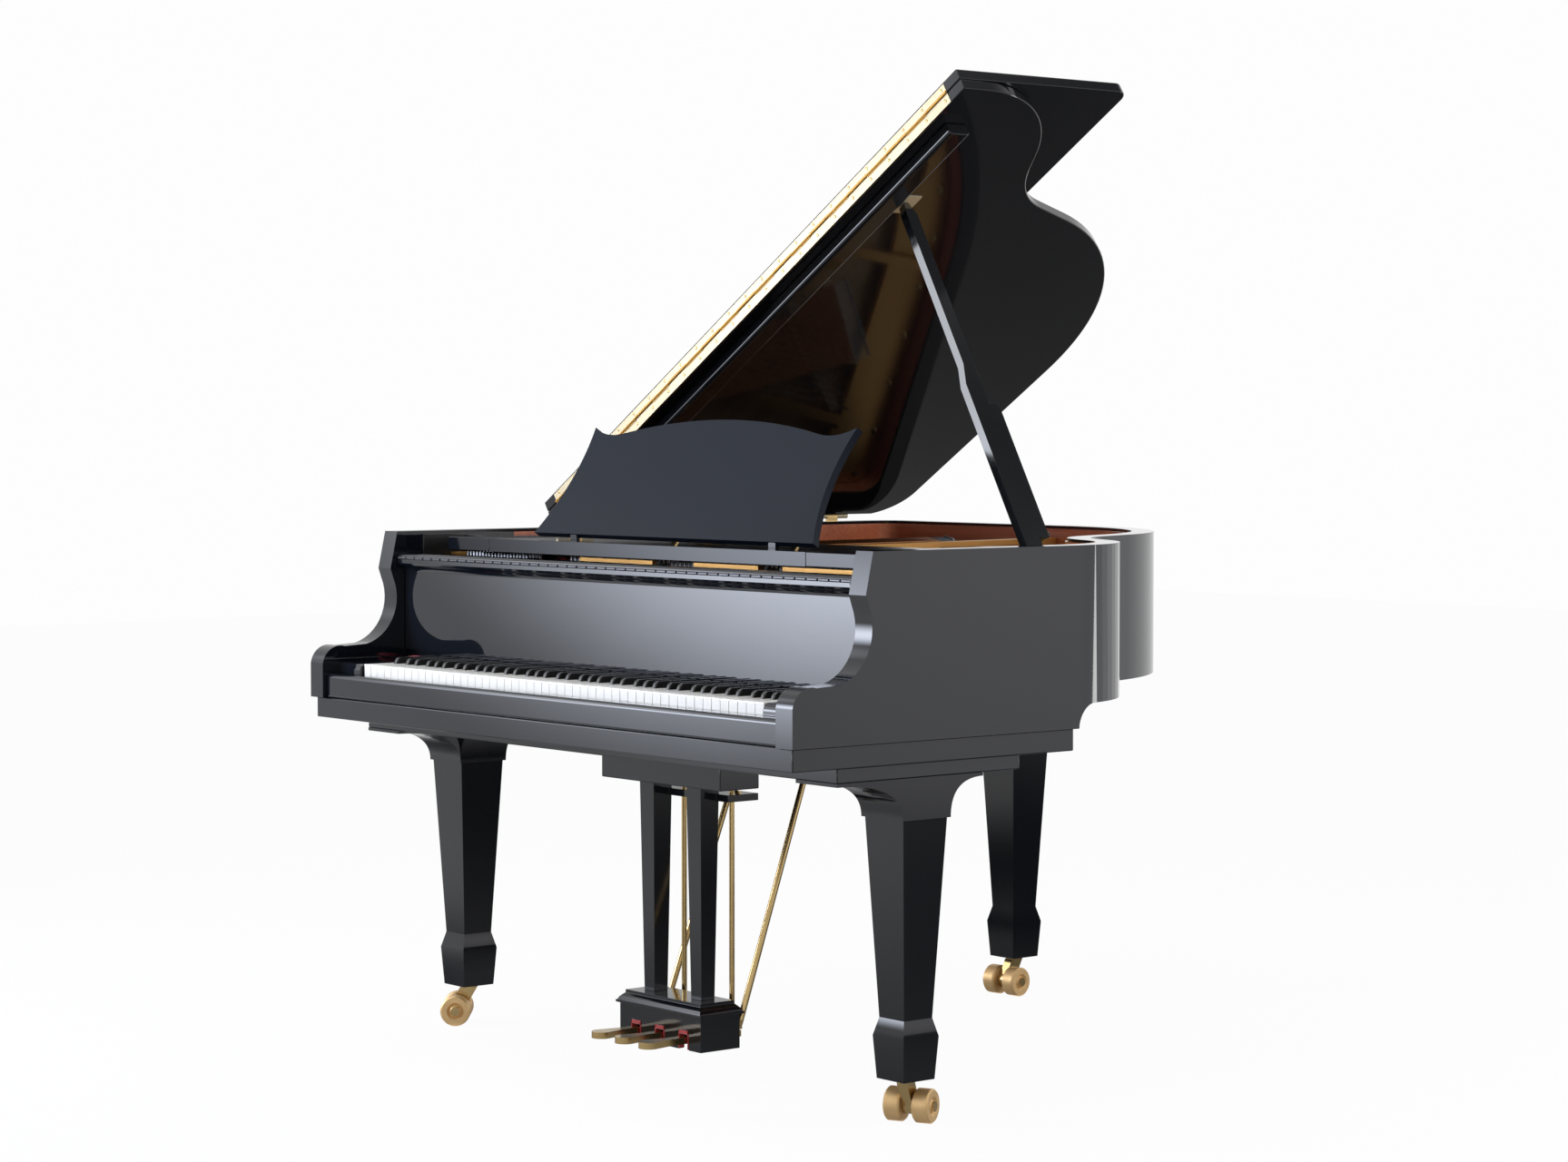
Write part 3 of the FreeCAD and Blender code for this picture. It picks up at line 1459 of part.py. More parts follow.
def set_caster(shape, name, turn):
    """Moves a caster piece, made about the Z axis, under its leg and turns it."""
    shape.rotate(Vector(0, 0, 0), UP, turn)
    shape.translate(caster_place(name))
    return shape


def caster_fork(name, turn):
    """Swivel stem with a collar, a cranked web and the axle with its two heads."""
    half = fork_width / 2
    collar_top = leg_base - collar_gap
    web_top = collar_top - collar_height
    centre = Vector(0, caster_trail, wheel_radius)
    stem = rod(UP * web_top, UP * (leg_base + stem_socket - collar_gap), stem_radius)
    collar = rod(UP * web_top, UP * collar_top, collar_radius)
    points = ((-collar_radius, web_top), (collar_radius, web_top),
              (caster_trail + fork_eye_radius, wheel_radius), (caster_trail - fork_eye_radius, wheel_radius))
    corners = [Vector(-half, a, b) for a, b in points]
    web = Part.Face(Part.makePolygon(corners + corners[:1])).extrude(ACROSS * fork_width)
    eye = rod(centre - ACROSS * half, centre + ACROSS * half, fork_eye_radius)
    reach = wheel_gap / 2 + wheel_width + collar_gap
    axle = rod(centre - ACROSS * reach, centre + ACROSS * reach, axle_radius)
    parts = [stem, collar, web, eye, axle]
    for side in (-1, 1):
        start = centre + ACROSS * (side * reach)
        parts.append(rod(start, start + ACROSS * (side * axle_head), axle_head_radius))
    return [set_caster(fuse(parts), name, turn)]


def caster_wheels(name, turn):
    """Two crowned wheels with dished sides, one each side of the fork."""
    inner = wheel_gap / 2
    outer = inner + wheel_width
    bore = axle_radius + axle_clearance
    shoulder = wheel_radius - wheel_crown
    profile = ((inner, bore), (inner, shoulder), (inner + wheel_crown, wheel_radius),
               (outer - wheel_crown, wheel_radius), (outer, shoulder), (outer, wheel_hub_radius),
               (outer - wheel_hub_depth, wheel_hub_radius - wheel_hub_depth),
               (outer - wheel_hub_depth, axle_head_radius + wheel_hub_depth), (outer, axle_head_radius),
               (outer, bore))
    wheels = []
    for side in (-1, 1):
        corners = [Vector(side * a, caster_trail, wheel_radius + b) for a, b in profile]
        face = Part.Face(Part.makePolygon(corners + corners[:1]))
        wheel = face.revolve(Vector(0, caster_trail, wheel_radius), ACROSS, 4 * quarter_turn)
        wheels.append(set_caster(Part.makeSolid(wheel.Shells[0]), name, turn))
    return wheels


def lyre_top_block():
    return [box(-lyre_top_half, lyre_top_half, lyre_front, lyre_front + lyre_depth,
                plank_underside - lyre_top_height, plank_underside)]


def lyre_columns():
    """Two tapered square columns and the guide bar that keeps the pedal rods upright."""
    middle = lyre_front + lyre_depth / 2
    top = plank_underside - lyre_top_height
    foot = lyre_box_base + lyre_box_height + lyre_cap_height
    columns = []
    for side in (-1, 1):
        x = side * lyre_column_spread
        columns.append(tapered([ring(x, middle, width / 2, width / 2, height)
                                for width, height in ((lyre_column_top, top), (lyre_column_foot, foot))]))
    guide_front = middle + lyre_column_top / 2 - rod_guide_thickness / 2
    guide = box(-rod_guide_half, rod_guide_half, guide_front, rod_depth + rod_radius + rod_guide_thickness,
                rod_guide_height, rod_guide_height + rod_guide_thickness)
    for x in pedal_places().values():
        start = Vector(x, at_depth(rod_depth), rod_guide_height - overrun)
        end = start + UP * (rod_guide_thickness + 2 * overrun)
        guide = guide.cut(rod(start, end, rod_radius + rod_clearance))
    return [fuse(columns[:1] + [guide] + columns[1:])]


def pedal_places():
    return {"left": -pedal_spread, "middle": 0.0, "right": pedal_spread}


def lyre_box():
    """Hollow pedal box with a spreading cap, slots for the pedals and a bar for their pivots."""
    back = lyre_front + lyre_depth
    top = lyre_box_base + lyre_box_height
    shell = box(-lyre_box_half, lyre_box_half, lyre_front, back, lyre_box_base, top)
    hollow = box(-lyre_box_half + lyre_box_wall, lyre_box_half - lyre_box_wall, lyre_front + lyre_box_wall,
                 back - lyre_box_wall, lyre_box_base - overrun, top - lyre_box_wall)
    shell = shell.cut(hollow)
    half_depth = lyre_depth / 2
    middle = lyre_front + half_depth
    wide = lyre_cap_overhang
    column_half = lyre_column_spread + lyre_column_top
    rings = []
    for rise_share, inset_share in lyre_cap_shares:
        half_x = lyre_box_half + wide - (lyre_box_half + wide - column_half) * inset_share
        half_y = half_depth + wide - 2 * wide * inset_share
        rings.append(ring(0, middle, half_x, half_y, top + lyre_cap_height * rise_share))
    cap = tapered(rings)
    pivot_height = pedal_height + pedal_thickness / 2
    pivot_start = Vector(-lyre_box_half + lyre_box_wall / 2, at_depth(pedal_pivot), pivot_height)
    pivot = rod(pivot_start, pivot_start + ACROSS * (2 * lyre_box_half - lyre_box_wall), pedal_pin_radius)
    solid = fuse([shell, cap])
    for x in pedal_places().values():
        side = pedal_width / 2 + pedal_slot_side
        slot = box(x - side, x + side, lyre_front - overrun, back + overrun, pedal_height - pedal_slot_drop,
                   pedal_height + pedal_thickness + pedal_slot_rise)
        walls = box(-lyre_box_half, lyre_box_half, lyre_front - overrun, lyre_front + lyre_box_wall,
                    lyre_box_base - overrun, top)
        rear = box(-lyre_box_half, lyre_box_half, back - lyre_box_wall, back + overrun,
                   lyre_box_base - overrun, top)
        solid = solid.cut(slot.common(walls)).cut(slot.common(rear))
    return [fuse([solid, pivot])]


def lyre_braces():
    """Two slanted rods from the back of the pedal box to the key bed."""
    braces = []
    back = lyre_front + lyre_depth
    for side in (-1, 1):
        foot = Vector(side * brace_foot_x, at_depth(back + brace_plate), brace_foot_height)
        head = Vector(side * brace_head_x, at_depth(brace_head_depth), key_bed_underside - brace_plate / 2)
        foot_plate = box(side * brace_foot_x - brace_plate, side * brace_foot_x + brace_plate, back,
                         back + brace_plate, brace_foot_height - brace_plate, brace_foot_height + brace_plate)
        head_plate = box(side * brace_head_x - 2 * brace_plate, side * brace_head_x + 2 * brace_plate,
                         brace_head_depth - 2 * brace_plate, brace_head_depth + 2 * brace_plate,
                         key_bed_underside - brace_plate, key_bed_underside)
        braces.append(fuse([rod(foot, head, brace_radius), foot_plate, head_plate]))
    return braces


def pedal(x):
    """Flat lever with a broad rounded toe in front and its tail under the rod."""
    half = pedal_width / 2
    toe = pedal_toe_width / 2
    top = pedal_height + pedal_thickness
    bend = pedal_tip + toe
    neck = pedal_tip + pedal_toe_length

    def corner(offset, depth):
        return Vector(x + offset, at_depth(depth), pedal_height)

    edges = [arc(corner(-toe, bend), corner(0, pedal_tip), corner(toe, bend)),
             line(corner(toe, bend), corner(half, neck)),
             line(corner(half, neck), corner(half, pedal_tail)),
             line(corner(half, pedal_tail), corner(-half, pedal_tail)),
             line(corner(-half, pedal_tail), corner(-half, neck)),
             line(corner(-half, neck), corner(-toe, bend))]
    lever = face_of(edges).extrude(UP * pedal_thickness)
    pin = Vector(x - toe, at_depth(pedal_pivot), (pedal_height + top) / 2)
    hole = rod(pin, pin + ACROSS * pedal_toe_width, pedal_pin_radius + pedal_pin_clearance)
    return [lever.cut(hole)]


def pedal_rod(x):
    start = Vector(x, at_depth(rod_depth), pedal_height + pedal_thickness + rod_gap)
    end = Vector(x, at_depth(rod_depth), rod_top)
    return [rod(start, end, rod_radius)]


def build():
    os.makedirs("parts", exist_ok=True)
    makers = (outer_rim, inner_rim, back_posts, key_bed, key_slip, key_blocks, soundboard, bridges, plate,
              pin_block, tuning_pins, plain_strings, wound_strings, dampers, desk_rails, desk_shelf,
              music_desk, desk_struts, fallboard, key_frame, action, main_lid, lid_fittings,
              lid_hinge_plates, front_flap, flap_hinge_leaf, lid_prop, half_prop, prop_bracket, leg_rear,
              lyre_top_block, lyre_columns, lyre_box, lyre_braces)
    for maker in makers:
        save(maker.__name__, maker())
    for node, keys in key_groups().items():
        save(node, keys)
    save("leg_front_left", front_leg(-1))
    save("leg_front_right", front_leg(1))
    for name, turn in caster_turns:
        save("caster_fork_" + name, caster_fork(name, turn))
        save("caster_wheels_" + name, caster_wheels(name, turn))
    for name, x in pedal_places().items():
        save("pedal_" + name, pedal(x))
        save("pedal_rod_" + name, pedal_rod(x))


build()
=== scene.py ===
"""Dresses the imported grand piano: eased lacquer, keys, strings, felts, finishes, floor, light and camera.

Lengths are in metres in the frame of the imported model: X towards the treble, Y towards the tail, Z up from the floor.
"""
import json
import math

import bmesh
import bpy
import numpy as np
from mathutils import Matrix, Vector
from mathutils.bvhtree import BVHTree

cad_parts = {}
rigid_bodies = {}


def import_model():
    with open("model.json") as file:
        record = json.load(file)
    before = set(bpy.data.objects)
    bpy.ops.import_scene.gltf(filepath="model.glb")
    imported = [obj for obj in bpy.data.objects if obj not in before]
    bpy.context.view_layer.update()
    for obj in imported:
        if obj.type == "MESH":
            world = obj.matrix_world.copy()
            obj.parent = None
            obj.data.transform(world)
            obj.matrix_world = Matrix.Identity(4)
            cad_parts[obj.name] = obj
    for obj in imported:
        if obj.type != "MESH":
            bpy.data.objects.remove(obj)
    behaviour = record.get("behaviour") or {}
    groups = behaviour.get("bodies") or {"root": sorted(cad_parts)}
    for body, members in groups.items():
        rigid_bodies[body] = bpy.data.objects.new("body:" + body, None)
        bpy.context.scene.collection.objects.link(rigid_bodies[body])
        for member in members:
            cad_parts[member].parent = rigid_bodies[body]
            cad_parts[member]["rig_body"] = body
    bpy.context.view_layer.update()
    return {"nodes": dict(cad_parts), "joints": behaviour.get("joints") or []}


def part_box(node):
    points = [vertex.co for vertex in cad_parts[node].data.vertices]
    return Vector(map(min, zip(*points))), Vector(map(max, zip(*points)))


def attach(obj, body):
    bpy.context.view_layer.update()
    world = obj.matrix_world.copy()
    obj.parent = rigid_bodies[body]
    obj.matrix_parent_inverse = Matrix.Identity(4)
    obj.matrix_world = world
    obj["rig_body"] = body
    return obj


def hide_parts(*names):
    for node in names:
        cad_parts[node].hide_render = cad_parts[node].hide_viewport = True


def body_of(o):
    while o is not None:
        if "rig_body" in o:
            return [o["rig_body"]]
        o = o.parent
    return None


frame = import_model()
nodes = frame["nodes"]
joints = {joint["name"]: joint for joint in frame["joints"]}
scene = bpy.context.scene
scene.view_settings.view_transform = "Standard"

SHARP_ANGLE = math.radians(35.0)
FLAT_ANGLE = math.radians(0.5)
WELD = 0.00002


# Mesh helpers.

def vertices_of(node):
    """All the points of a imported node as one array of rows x, y, z."""
    mesh = nodes[node].data
    flat = np.empty(len(mesh.vertices) * 3)
    mesh.vertices.foreach_get("co", flat)
    return flat.reshape(-1, 3)


def solids_of(node, per_solid):
    """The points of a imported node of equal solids, shaped (solids, points of one, 3)."""
    return vertices_of(node).reshape(-1, per_solid, 3)


def make_piece(name, points, faces, material, body, slot):
    """Puts points and faces into a mesh whose faces look outwards, and lets it ride on a body."""
    mesh = bpy.data.meshes.new(name)
    mesh.from_pydata(np.asarray(points).reshape(-1, 3).tolist(), [], faces)
    shell = bmesh.new()
    shell.from_mesh(mesh)
    bmesh.ops.recalc_face_normals(shell, faces=shell.faces)
    shell.to_mesh(mesh)
    shell.free()
    mesh.materials.append(material)
    mesh.shade_smooth()
    mesh.set_sharp_from_angle(angle=SHARP_ANGLE)
    piece = bpy.data.objects.new(name, mesh)
    scene.collection.objects.link(piece)
    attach(piece, body)
    return piece


def grid_faces(rows, columns):
    """Quads between neighbouring rows of a grid whose last column joins its first."""
    column = np.arange(columns)
    row = np.arange(rows - 1)[:, None] * columns
    following = (column + 1) % columns
    corners = (row + column, row + following, row + columns + following, row + columns + column)
    return np.stack(corners, axis=-1).reshape(-1, 4)


def ring_solids(rings):
    """Closed solids from rings shaped (items, rows, columns, 3): quads between rows, one face at each end."""
    items, rows, columns, _ = rings.shape
    sides = grid_faces(rows, columns)
    first = np.arange(columns)
    last = first + (rows - 1) * columns
    faces = []
    for start in np.arange(items) * rows * columns:
        faces += (sides + start).tolist()
        faces += [(first + start).tolist(), (last + start).tolist()]
    return rings.reshape(-1, 3), faces


def joined(*parts):
    """Several (points, faces) as one."""
    points = []
    faces = []
    start = 0
    for part_points, part_faces in parts:
        points.append(part_points)
        faces += [[corner + start for corner in face] for face in part_faces]
        start += len(part_points)
    return np.concatenate(points), faces


def rounded_ring(half_x, half_y, radius, per_corner):
    """A rectangle with round corners: each corner is a quarter circle of the radius about its own centre."""
    quarter = np.linspace(0, math.pi / 2, per_corner)
    angle = (np.arange(4)[:, None] * math.pi / 2 + quarter).ravel()
    middle = np.repeat(np.arange(4) * math.pi / 2 + math.pi / 4, per_corner)
    reach_x = np.sign(np.cos(middle)) * (half_x[..., None] - radius) + radius * np.cos(angle)
    reach_y = np.sign(np.sin(middle)) * (half_y[..., None] - radius) + radius * np.sin(angle)
    return reach_x, reach_y


def eased_blocks(lows, highs, ease, per_corner=2):
    """Blocks with eased edges: a rounded rectangle carried upwards and drawn in by the ease at both ends."""
    lows = np.atleast_2d(lows)
    highs = np.atleast_2d(highs)
    middle = (lows + highs) / 2
    half = (highs - lows) / 2
    inset = np.array([ease, 0, 0, ease])
    height = np.stack([lows[:, 2], lows[:, 2] + ease, highs[:, 2] - ease, highs[:, 2]], axis=1)
    reach_x, reach_y = rounded_ring(half[:, :1] - inset, half[:, 1:2] - inset, ease * 0.9, per_corner)
    rings = np.stack([
        middle[:, 0][:, None, None] + reach_x,
        middle[:, 1][:, None, None] + reach_y,
        np.broadcast_to(height[:, :, None], reach_x.shape)], axis=-1)
    return ring_solids(rings)


def turned(centres, radii, heights, sides, axis=(0.0, 0.0, 1.0)):
    """Turned pieces: circles of the given radii carried the given heights along the axis from each centre."""
    angle = np.arange(sides)[:, None] * 2 * math.pi / sides
    rise = np.array(axis) / np.linalg.norm(axis)
    across = np.cross([0.0, 1.0, 0.0] if abs(rise[1]) < 0.9 else [0.0, 0.0, 1.0], rise)
    across = across / np.linalg.norm(across)
    circle = np.cos(angle) * across + np.sin(angle) * np.cross(rise, across)
    profile = np.asarray(radii)[:, None, None] * circle + np.asarray(heights)[:, None, None] * rise
    return ring_solids(np.atleast_2d(centres)[:, None, None, :] + profile)


def wires(paths, radius, sides):
    """Round wires: a circle of the radius set square to the path at each of its points."""
    along = np.gradient(paths, axis=1)
    along = along / np.linalg.norm(along, axis=-1, keepdims=True)
    across = np.cross(along, np.array([0.0, 0.0, 1.0]))
    across = across / np.linalg.norm(across, axis=-1, keepdims=True)
    upward = np.cross(across, along)
    angle = np.arange(sides) * 2 * math.pi / sides
    turn = np.cos(angle)[:, None] * across[:, :, None, :] + np.sin(angle)[:, None] * upward[:, :, None, :]
    return ring_solids(paths[:, :, None, :] + radius * turn)


def plates_on(outline, heights, insets):
    """A plate on a square-cornered outline: the outline carried up the heights, drawn in by each inset."""
    before = outline - np.roll(outline, 1, axis=0)
    after = np.roll(outline, -1, axis=0) - outline
    outward = np.sign(np.stack([before[:, 1] + after[:, 1], -before[:, 0] - after[:, 0]], axis=-1))
    flat = outline[None] - np.asarray(insets)[:, None, None] * outward
    level = np.broadcast_to(np.asarray(heights)[:, None, None], flat.shape[:2] + (1,))
    return ring_solids(np.concatenate([flat, level], axis=-1)[None])


# Shader helpers.

def fill(tree, socket, value):
    """Links an output to an input, or sets the input's own value."""
    if isinstance(value, bpy.types.NodeSocket):
        tree.links.new(value, socket)
    else:
        socket.default_value = value


def put(tree, kind, settings=None, **inputs):
    """Adds a node, sets its settings and fills its inputs by name."""
    node = tree.nodes.new("ShaderNode" + kind)
    for key, value in (settings or {}).items():
        setattr(node, key, value)
    for key, value in inputs.items():
        fill(tree, node.inputs[key.replace("_", " ")], value)
    return node


def sums(tree, operation, first, second):
    """One step of arithmetic between two values."""
    node = put(tree, "Math", {"operation": operation})
    fill(tree, node.inputs[0], first)
    fill(tree, node.inputs[1], second)
    return node.outputs[0]


def between(tree, share, first, second):
    """A colour that goes from the first to the second as the share goes from 0 to 1."""
    node = put(tree, "Mix", {"data_type": "RGBA"})
    fill(tree, node.inputs[0], share)
    fill(tree, node.inputs[6], first)
    fill(tree, node.inputs[7], second)
    return node.outputs[2]


def spread(tree, value, low, high):
    """A value from 0..1 laid out between low and high."""
    node = put(tree, "MapRange")
    for number, entry in enumerate((value, 0.0, 1.0, low, high)):
        fill(tree, node.inputs[number], entry)
    return node.outputs[0]


def shader_group(name, inputs, outputs):
    """An empty shader node group with named inputs and outputs."""
    tree = bpy.data.node_groups.new(name, "ShaderNodeTree")
    for label, kind in inputs:
        tree.interface.new_socket(label, in_out="INPUT", socket_type="NodeSocket" + kind)
    for label, kind in outputs:
        tree.interface.new_socket(label, in_out="OUTPUT", socket_type="NodeSocket" + kind)
    return tree, tree.nodes.new("NodeGroupInput").outputs, tree.nodes.new("NodeGroupOutput").inputs


def wood_figure():
    """Grain along X: long thin fibres and slow bands, laid between a pale and a dark colour."""
    tree, given, result = shader_group(
        "wood_figure",
        (("Vector", "Vector"), ("Pale", "Color"), ("Dark", "Color"), ("Fineness", "Float")),
        (("Color", "Color"), ("Fibre", "Float")))
    stretched = put(tree, "VectorMath", {"operation": "MULTIPLY"})
    fill(tree, stretched.inputs[0], given["Vector"])
    fill(tree, stretched.inputs[1], (1.4, 38.0, 38.0))
    scaled = put(tree, "VectorMath", {"operation": "SCALE"}, Scale=given["Fineness"])
    fill(tree, scaled.inputs[0], stretched.outputs[0])
    fibre = put(tree, "TexNoise", Vector=scaled.outputs[0], Scale=4.0, Detail=6.0, Roughness=0.62)
    band = put(tree, "TexNoise", Vector=scaled.outputs[0], Scale=0.55, Detail=3.0, Distortion=0.6)
    mixed = sums(tree, "MULTIPLY", sums(tree, "ADD", fibre.outputs[0], band.outputs[0]), 0.5)
    fill(tree, result["Color"], between(tree, spread(tree, mixed, -0.7, 1.7), given["Pale"], given["Dark"]))
    fill(tree, result["Fibre"], fibre.outputs[0])
    return tree


def polish_marks():
    """Slow unevenness of a rubbed finish plus fine specks of dust, as a roughness and a height."""
    tree, given, result = shader_group(
        "polish_marks",
        (("Vector", "Vector"), ("Smooth", "Float"), ("Dull", "Float")),
        (("Roughness", "Float"), ("Ripple", "Float")))
    cloud = put(tree, "TexNoise", Vector=given["Vector"], Scale=5.0, Detail=3.0)
    speck = put(tree, "TexNoise", Vector=given["Vector"], Scale=900.0, Detail=1.0)
    fleck = spread(tree, sums(tree, "GREATER_THAN", speck.outputs[0], 0.73), 0.0, 0.5)
    share = sums(tree, "ADD", spread(tree, cloud.outputs[0], -0.4, 1.0), fleck)
    span = sums(tree, "SUBTRACT", given["Dull"], given["Smooth"])
    fill(tree, result["Roughness"], sums(tree, "ADD", given["Smooth"], sums(tree, "MULTIPLY", share, span)))
    fill(tree, result["Ripple"], put(tree, "TexNoise", Vector=given["Vector"], Scale=16.0, Detail=1.0).outputs[0])
    return tree


def rubbed_lines():
    """Short hairlines across the piece, as a brushed or turned metal shows them."""
    tree, given, result = shader_group(
        "rubbed_lines", (("Vector", "Vector"), ("Fineness", "Float")), (("Line", "Float"), ("Tarnish", "Float")))
    stretched = put(tree, "VectorMath", {"operation": "MULTIPLY"})
    fill(tree, stretched.inputs[0], given["Vector"])
    fill(tree, stretched.inputs[1], (6.0, 6.0, 90.0))
    line = put(tree, "TexNoise", Vector=stretched.outputs[0], Scale=given["Fineness"], Detail=3.0)
    cloud = put(tree, "TexNoise", Vector=given["Vector"], Scale=22.0, Detail=4.0, Roughness=0.6)
    fill(tree, result["Line"], line.outputs[0])
    fill(tree, result["Tarnish"], cloud.outputs[0])
    return tree


WOOD = wood_figure()
POLISH = polish_marks()
LINES = rubbed_lines()


def group_node(tree, group, **inputs):
    """Places a shader group in a material and fills its inputs."""
    return put(tree, "Group", {"node_tree": group}, **inputs).outputs


def new_finish(name):
    """An empty node material: its tree, its main shader and its object coordinates."""
    material = bpy.data.materials.new(name)
    material.use_nodes = True
    tree = material.node_tree
    return material, tree, tree.nodes["Principled BSDF"], put(tree, "TexCoord").outputs["Object"]


def bumped(tree, shader, height, strength, distance):
    """Lets a height ruffle the shader's normal."""
    bump = put(tree, "Bump", Height=height, Strength=strength, Distance=distance)
    fill(tree, shader.inputs["Normal"], bump.outputs[0])


def lacquer(name, colour, smooth, dull, index, ripple=0.02):
    """Thick polished lacquer: near-black body, slow unevenness in its gloss and a faint ripple."""
    material, tree, shader, place = new_finish(name)
    marks = group_node(tree, POLISH, Vector=place, Smooth=smooth, Dull=dull)
    tint = put(tree, "TexNoise", Vector=place, Scale=3.0, Detail=2.0)
    deeper = tuple(part * 0.7 for part in colour[:3]) + (1.0,)
    fill(tree, shader.inputs["Base Color"], between(tree, tint.outputs[0], deeper, colour))
    fill(tree, shader.inputs["Roughness"], marks["Roughness"])
    shader.inputs["IOR"].default_value = index
    bumped(tree, shader, marks["Ripple"], ripple, 0.0004)
    return material


def timber(name, pale, dark, fineness, roughness, turn, coat):
    """Wood with grain along the direction that the turn about Z gives."""
    material, tree, shader, place = new_finish(name)
    laid = put(tree, "Mapping", Vector=place, Rotation=(0.0, 0.0, math.radians(turn)))
    figure = group_node(tree, WOOD, Vector=laid.outputs[0], Pale=pale, Dark=dark, Fineness=fineness)
    fill(tree, shader.inputs["Base Color"], figure["Color"])
    fill(tree, shader.inputs["Roughness"], spread(tree, figure["Fibre"], roughness - 0.08, roughness + 0.12))
    shader.inputs["Coat Weight"].default_value = coat
    shader.inputs["Coat Roughness"].default_value = 0.08
    bumped(tree, shader, figure["Fibre"], 0.25, 0.0003)
    return material


def metal(name, bright, tarnished, smooth, dull, fineness, metallic=1.0):
    """Metal with rubbed hairlines and a slow tarnish between two colours."""
    material, tree, shader, place = new_finish(name)
    lines = group_node(tree, LINES, Vector=place, Fineness=fineness)
    fill(tree, shader.inputs["Base Color"], between(tree, lines["Tarnish"], bright, tarnished))
    fill(tree, shader.inputs["Roughness"], spread(tree, lines["Line"], smooth, dull))
    shader.inputs["Metallic"].default_value = metallic
    bumped(tree, shader, lines["Line"], 0.12, 0.0002)
    return material


def coloured_before(material, depth, colour):
    """Lays a colour over a finish wherever it lies nearer to the front than the depth, and gives the finish back."""
    tree = material.node_tree
    base = tree.nodes["Principled BSDF"].inputs["Base Color"]
    place = put(tree, "SeparateXYZ", Vector=put(tree, "TexCoord").outputs["Object"])
    nearer = sums(tree, "LESS_THAN", place.outputs["Y"], depth)
    fill(tree, base, between(tree, nearer, base.links[0].from_socket, colour))
    return material


def felt(name, colour):
    """Pressed wool: matted fibres in the colour and a soft sheen."""
    material, tree, shader, place = new_finish(name)
    mat = put(tree, "TexNoise", Vector=place, Scale=900.0, Detail=5.0, Roughness=0.7)
    worn = tuple(part * 0.55 for part in colour[:3]) + (1.0,)
    fill(tree, shader.inputs["Base Color"], between(tree, mat.outputs[0], worn, colour))
    shader.inputs["Roughness"].default_value = 0.95
    shader.inputs["Sheen Weight"].default_value = 0.5
    bumped(tree, shader, mat.outputs[0], 0.5, 0.0006)
    return material


def winding_copper():
    """Copper wound round a steel core: fine rings across the string and a brown tarnish."""
    material, tree, shader, place = new_finish("wound_copper")
    rings = put(tree, "TexWave", {"bands_direction": "Y"}, Vector=place, Scale=260.0, Distortion=0.4)
    cloud = put(tree, "TexNoise", Vector=place, Scale=30.0, Detail=3.0)
    tint = between(tree, cloud.outputs[0], (0.62, 0.26, 0.11, 1), (0.36, 0.14, 0.06, 1))
    fill(tree, shader.inputs["Base Color"], tint)
    fill(tree, shader.inputs["Roughness"], spread(tree, rings.outputs["Fac"], 0.25, 0.45))
    shader.inputs["Metallic"].default_value = 1.0
    bumped(tree, shader, rings.outputs["Fac"], 0.5, 0.0005)
    return material


def bronzed_iron():
    """Cast iron under bronze paint: sandy casting skin and metal flakes."""
    material, tree, shader, place = new_finish("bronzed_iron")
    sand = put(tree, "TexNoise", Vector=place, Scale=420.0, Detail=4.0)
    cloud = put(tree, "TexNoise", Vector=place, Scale=7.0, Detail=3.0)
    tint = between(tree, cloud.outputs[0], (0.70, 0.41, 0.13, 1), (0.53, 0.28, 0.08, 1))
    fill(tree, shader.inputs["Base Color"], tint)
    fill(tree, shader.inputs["Roughness"], spread(tree, sand.outputs[0], 0.26, 0.46))
    shader.inputs["Metallic"].default_value = 0.75
    bumped(tree, shader, sand.outputs[0], 0.2, 0.0005)
    return material


def key_plastic(name, colour, smooth, dull):
    """Moulded key covering: even colour with a slight warmth and handling marks in the gloss."""
    material, tree, shader, place = new_finish(name)
    marks = group_node(tree, POLISH, Vector=place, Smooth=smooth, Dull=dull)
    cloud = put(tree, "TexNoise", Vector=place, Scale=14.0, Detail=2.0)
    warm = (colour[0] * 0.97, colour[1] * 0.95, colour[2] * 0.90, 1.0)
    fill(tree, shader.inputs["Base Color"], between(tree, cloud.outputs[0], warm, colour))
    fill(tree, shader.inputs["Roughness"], marks["Roughness"])
    shader.inputs["IOR"].default_value = 1.5
    bumped(tree, shader, marks["Ripple"], 0.02, 0.0003)
    return material


# Finish of each node: by its slot in the record, or its own where the photograph shows another one.

LINING_BLACK_AND_SHADE_DEPTH = -0.30
BARREL_FACE = -0.1757
MAHOGANY = {
    "pale": (0.62, 0.19, 0.09, 1), "dark": (0.32, 0.08, 0.038, 1),
    "fineness": 1.0, "roughness": 0.32, "turn": 0.0, "coat": 0.6}

